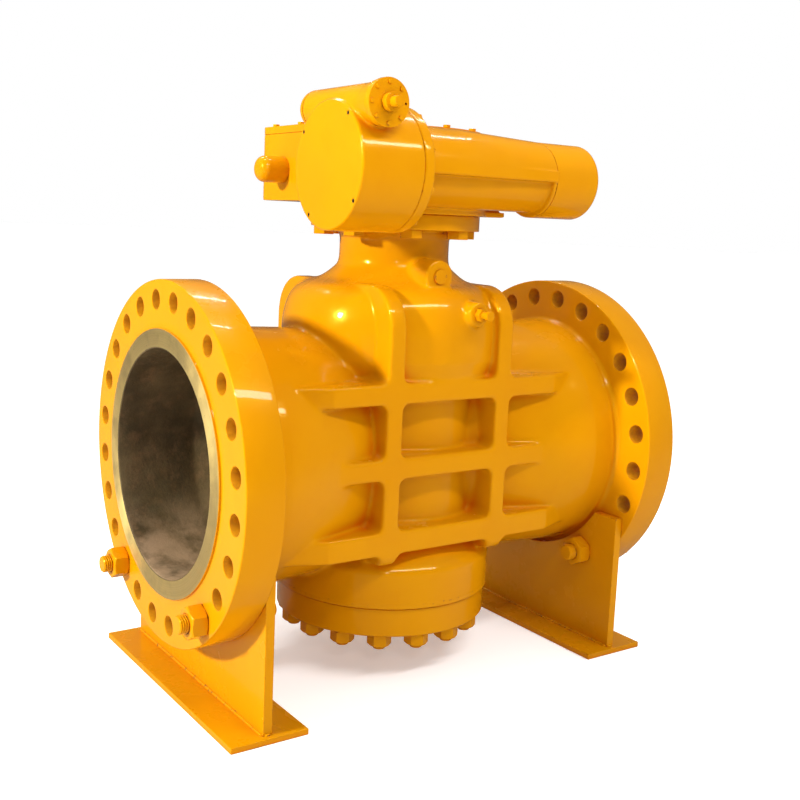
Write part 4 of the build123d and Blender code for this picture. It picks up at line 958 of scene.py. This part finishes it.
def dress_node(node, obj, slot):
    """Gives a CAD node its material, and soft edges like the real piece's."""
    weld = obj.modifiers.new("weld", "WELD")
    weld.merge_threshold = WELD
    flatten = obj.modifiers.new("flatten", "DECIMATE")
    flatten.decimate_type = "DISSOLVE"
    flatten.angle_limit = math.radians(0.4)
    bevel = obj.modifiers.new("edges", "BEVEL")
    bevel.limit_method = "ANGLE"
    bevel.angle_limit = math.radians(34)
    bevel.width = EDGE_WIDTHS.get(node, USUAL_EDGE) * MM
    bevel.segments = 3
    even = obj.modifiers.new("even", "WEIGHTED_NORMAL")
    even.keep_sharp = False
    obj.data.materials.clear()
    obj.data.materials.append(SLOT_MATERIALS[slot])


def node_slots():
    """The record's material slot of each CAD node."""
    slots = {}
    for part in frame["record"]["subparts"]:
        slots[part["node"]] = part["material_slot"]
    return slots


# ---------------------------------------------------------------- studio and camera
def make_studio():
    """A plain pale floor that runs out to the horizon, dimmer in reflections and as a light."""
    skin = Skin()
    steps = 96
    angles = [2 * math.pi * i / steps for i in range(steps)]
    place = along_z()
    rings = skin.tube([[place(r, a, 0) for a in angles] for r in (0.05, 1.5, 5.0, 20.0, 80.0)])
    skin.cap(rings[0])
    floor = skin.build("studio_floor")
    s = Surface("studio_paper")
    drift = s.ramp(s.noise(0.6, 3.0), 0.3, 0.7)
    tone = s.mix(drift, (0.945, 0.945, 0.94, 1), (0.97, 0.97, 0.965, 1))
    mirrored = s.add("ShaderNodeLightPath", {}, output="Is Glossy Ray")
    bounced = s.add("ShaderNodeLightPath", {}, output="Is Diffuse Ray")
    tone = s.mix(mirrored, tone, (0.17, 0.16, 0.15, 1))
    tone = s.mix(bounced, tone, (0.76, 0.73, 0.68, 1))
    s.set(Base_Color=tone, Roughness=0.9, Normal=s.bump(s.noise(240.0, 2.0), 0.2 * MM, 0.1))
    glow = s.times(s.ramp(mirrored, 0.0, 1.0, 0.29, 0.01), s.ramp(bounced, 0.0, 1.0, 1.0, 0.5))
    s.set(Emission_Color=(1, 1, 1, 1), Emission_Strength=glow)
    floor.data.materials.append(s.material)


def area_light(name, at, target, size, power, colour=(1, 1, 1)):
    light = bpy.data.lights.new(name, "AREA")
    light.shape = "RECTANGLE"
    light.size, light.size_y = size
    light.energy = power
    light.color = colour
    obj = bpy.data.objects.new(name, light)
    obj.location = at
    obj.rotation_euler = (Vector(target) - Vector(at)).to_track_quat("-Z", "Y").to_euler()
    bpy.context.scene.collection.objects.link(obj)


def make_lights():
    """A strong light far off on the left, two weak ones in front, and two strips overhead."""
    middle = (0, 0, 0.8)
    area_light("key", (-9.2, 0.1, 4.2), middle, (0.7, 0.7), 1480, (0.97, 1.0, 0.76))
    area_light("flash", (-1.9, -3.4, 2.3), middle, (0.26, 0.26), 15)
    area_light("window", (0.3, -2.5, 3.4), (0.3, 0, 0.7), (3.2, 0.30), 78)
    for k, y in enumerate((0.15, 2.0)):
        area_light(f"strip_{k}", (0.2, y, 3.6), (0.2, y * 0.3, 0.8), (3.2, 0.035), 33)
    make_sky()


def sky_map(tree, value, source, target):
    """A value taken smoothly from one range to another, in the world's node tree."""
    node = tree.nodes.new("ShaderNodeMapRange")
    node.interpolation_type = "SMOOTHSTEP"
    tree.links.new(value, node.inputs["Value"])
    node.inputs["From Min"].default_value, node.inputs["From Max"].default_value = source
    node.inputs["To Min"].default_value, node.inputs["To Max"].default_value = target
    return node.outputs["Result"]


def make_sky():
    """A white surround behind the valve that is dimmer in front, on the left and in reflections."""
    world = bpy.data.worlds.new("studio")
    world.use_nodes = True
    tree = world.node_tree
    back = tree.nodes["Background"]
    behind = tree.nodes.new("ShaderNodeVectorMath")
    behind.operation = "DOT_PRODUCT"
    tree.links.new(tree.nodes.new("ShaderNodeTexCoord").outputs["Generated"], behind.inputs[0])
    behind.inputs[1].default_value = (0.8, 0.6, 0.0)
    glossy = tree.nodes.new("ShaderNodeLightPath").outputs["Is Glossy Ray"]
    power = tree.nodes.new("ShaderNodeMath")
    power.operation = "MULTIPLY"
    level = sky_map(tree, behind.outputs["Value"], (-0.9, 0.35), (0.42, 1.0))
    tree.links.new(level, power.inputs[0])
    tree.links.new(sky_map(tree, glossy, (0.0, 1.0), (1.0, 0.10)), power.inputs[1])
    tree.links.new(power.outputs[0], back.inputs["Strength"])
    back.inputs["Color"].default_value = (1, 1, 1, 1)
    bpy.context.scene.world = world


def make_camera():
    """A low three-quarter view from the left front, turned slightly on its own axis."""
    data = bpy.data.cameras.new("camera")
    data.sensor_width = 36
    data.lens = 48.67
    data.shift_x, data.shift_y = 0.025, -0.031
    round_angle, height_angle, roll = (math.radians(a) for a in (-34.298, 8.172, 2.376))
    back = Vector((
        math.sin(round_angle) * math.cos(height_angle),
        -math.cos(round_angle) * math.cos(height_angle),
        math.sin(height_angle),
    ))
    right = (-back).cross(Vector((0, 0, 1))).normalized()
    up = right.cross(-back)
    turned_right = right * math.cos(roll) + up * math.sin(roll)
    turned_up = up * math.cos(roll) - right * math.sin(roll)
    pose = Matrix((turned_right, turned_up, back)).transposed().to_4x4()
    pose.translation = (-1.7617, -2.5386, 1.2507)
    camera = bpy.data.objects.new("camera", data)
    camera.matrix_world = pose
    bpy.context.scene.collection.objects.link(camera)
    bpy.context.scene.camera = camera


# ---------------------------------------------------------------- everything together
def make_all():
    make_camera()
    make_lights()
    make_studio()
    for node, slot in node_slots().items():
        dress_node(node, frame["nodes"][node], slot)
    make_cast_body()
    make_end_flange(-1, "left_end_flange")
    make_end_flange(1, "right_end_flange")
    make_operator_flange()
    make_boss_rim()
    make_operator_casting("gear_case", "gear_housing")
    make_operator_casting("first_stage_casting", "first_stage_case")
    make_support_fasteners()
    make_cover_fasteners()
    make_support_welds()
    bpy.context.scene.view_settings.view_transform = "Standard"


make_all()
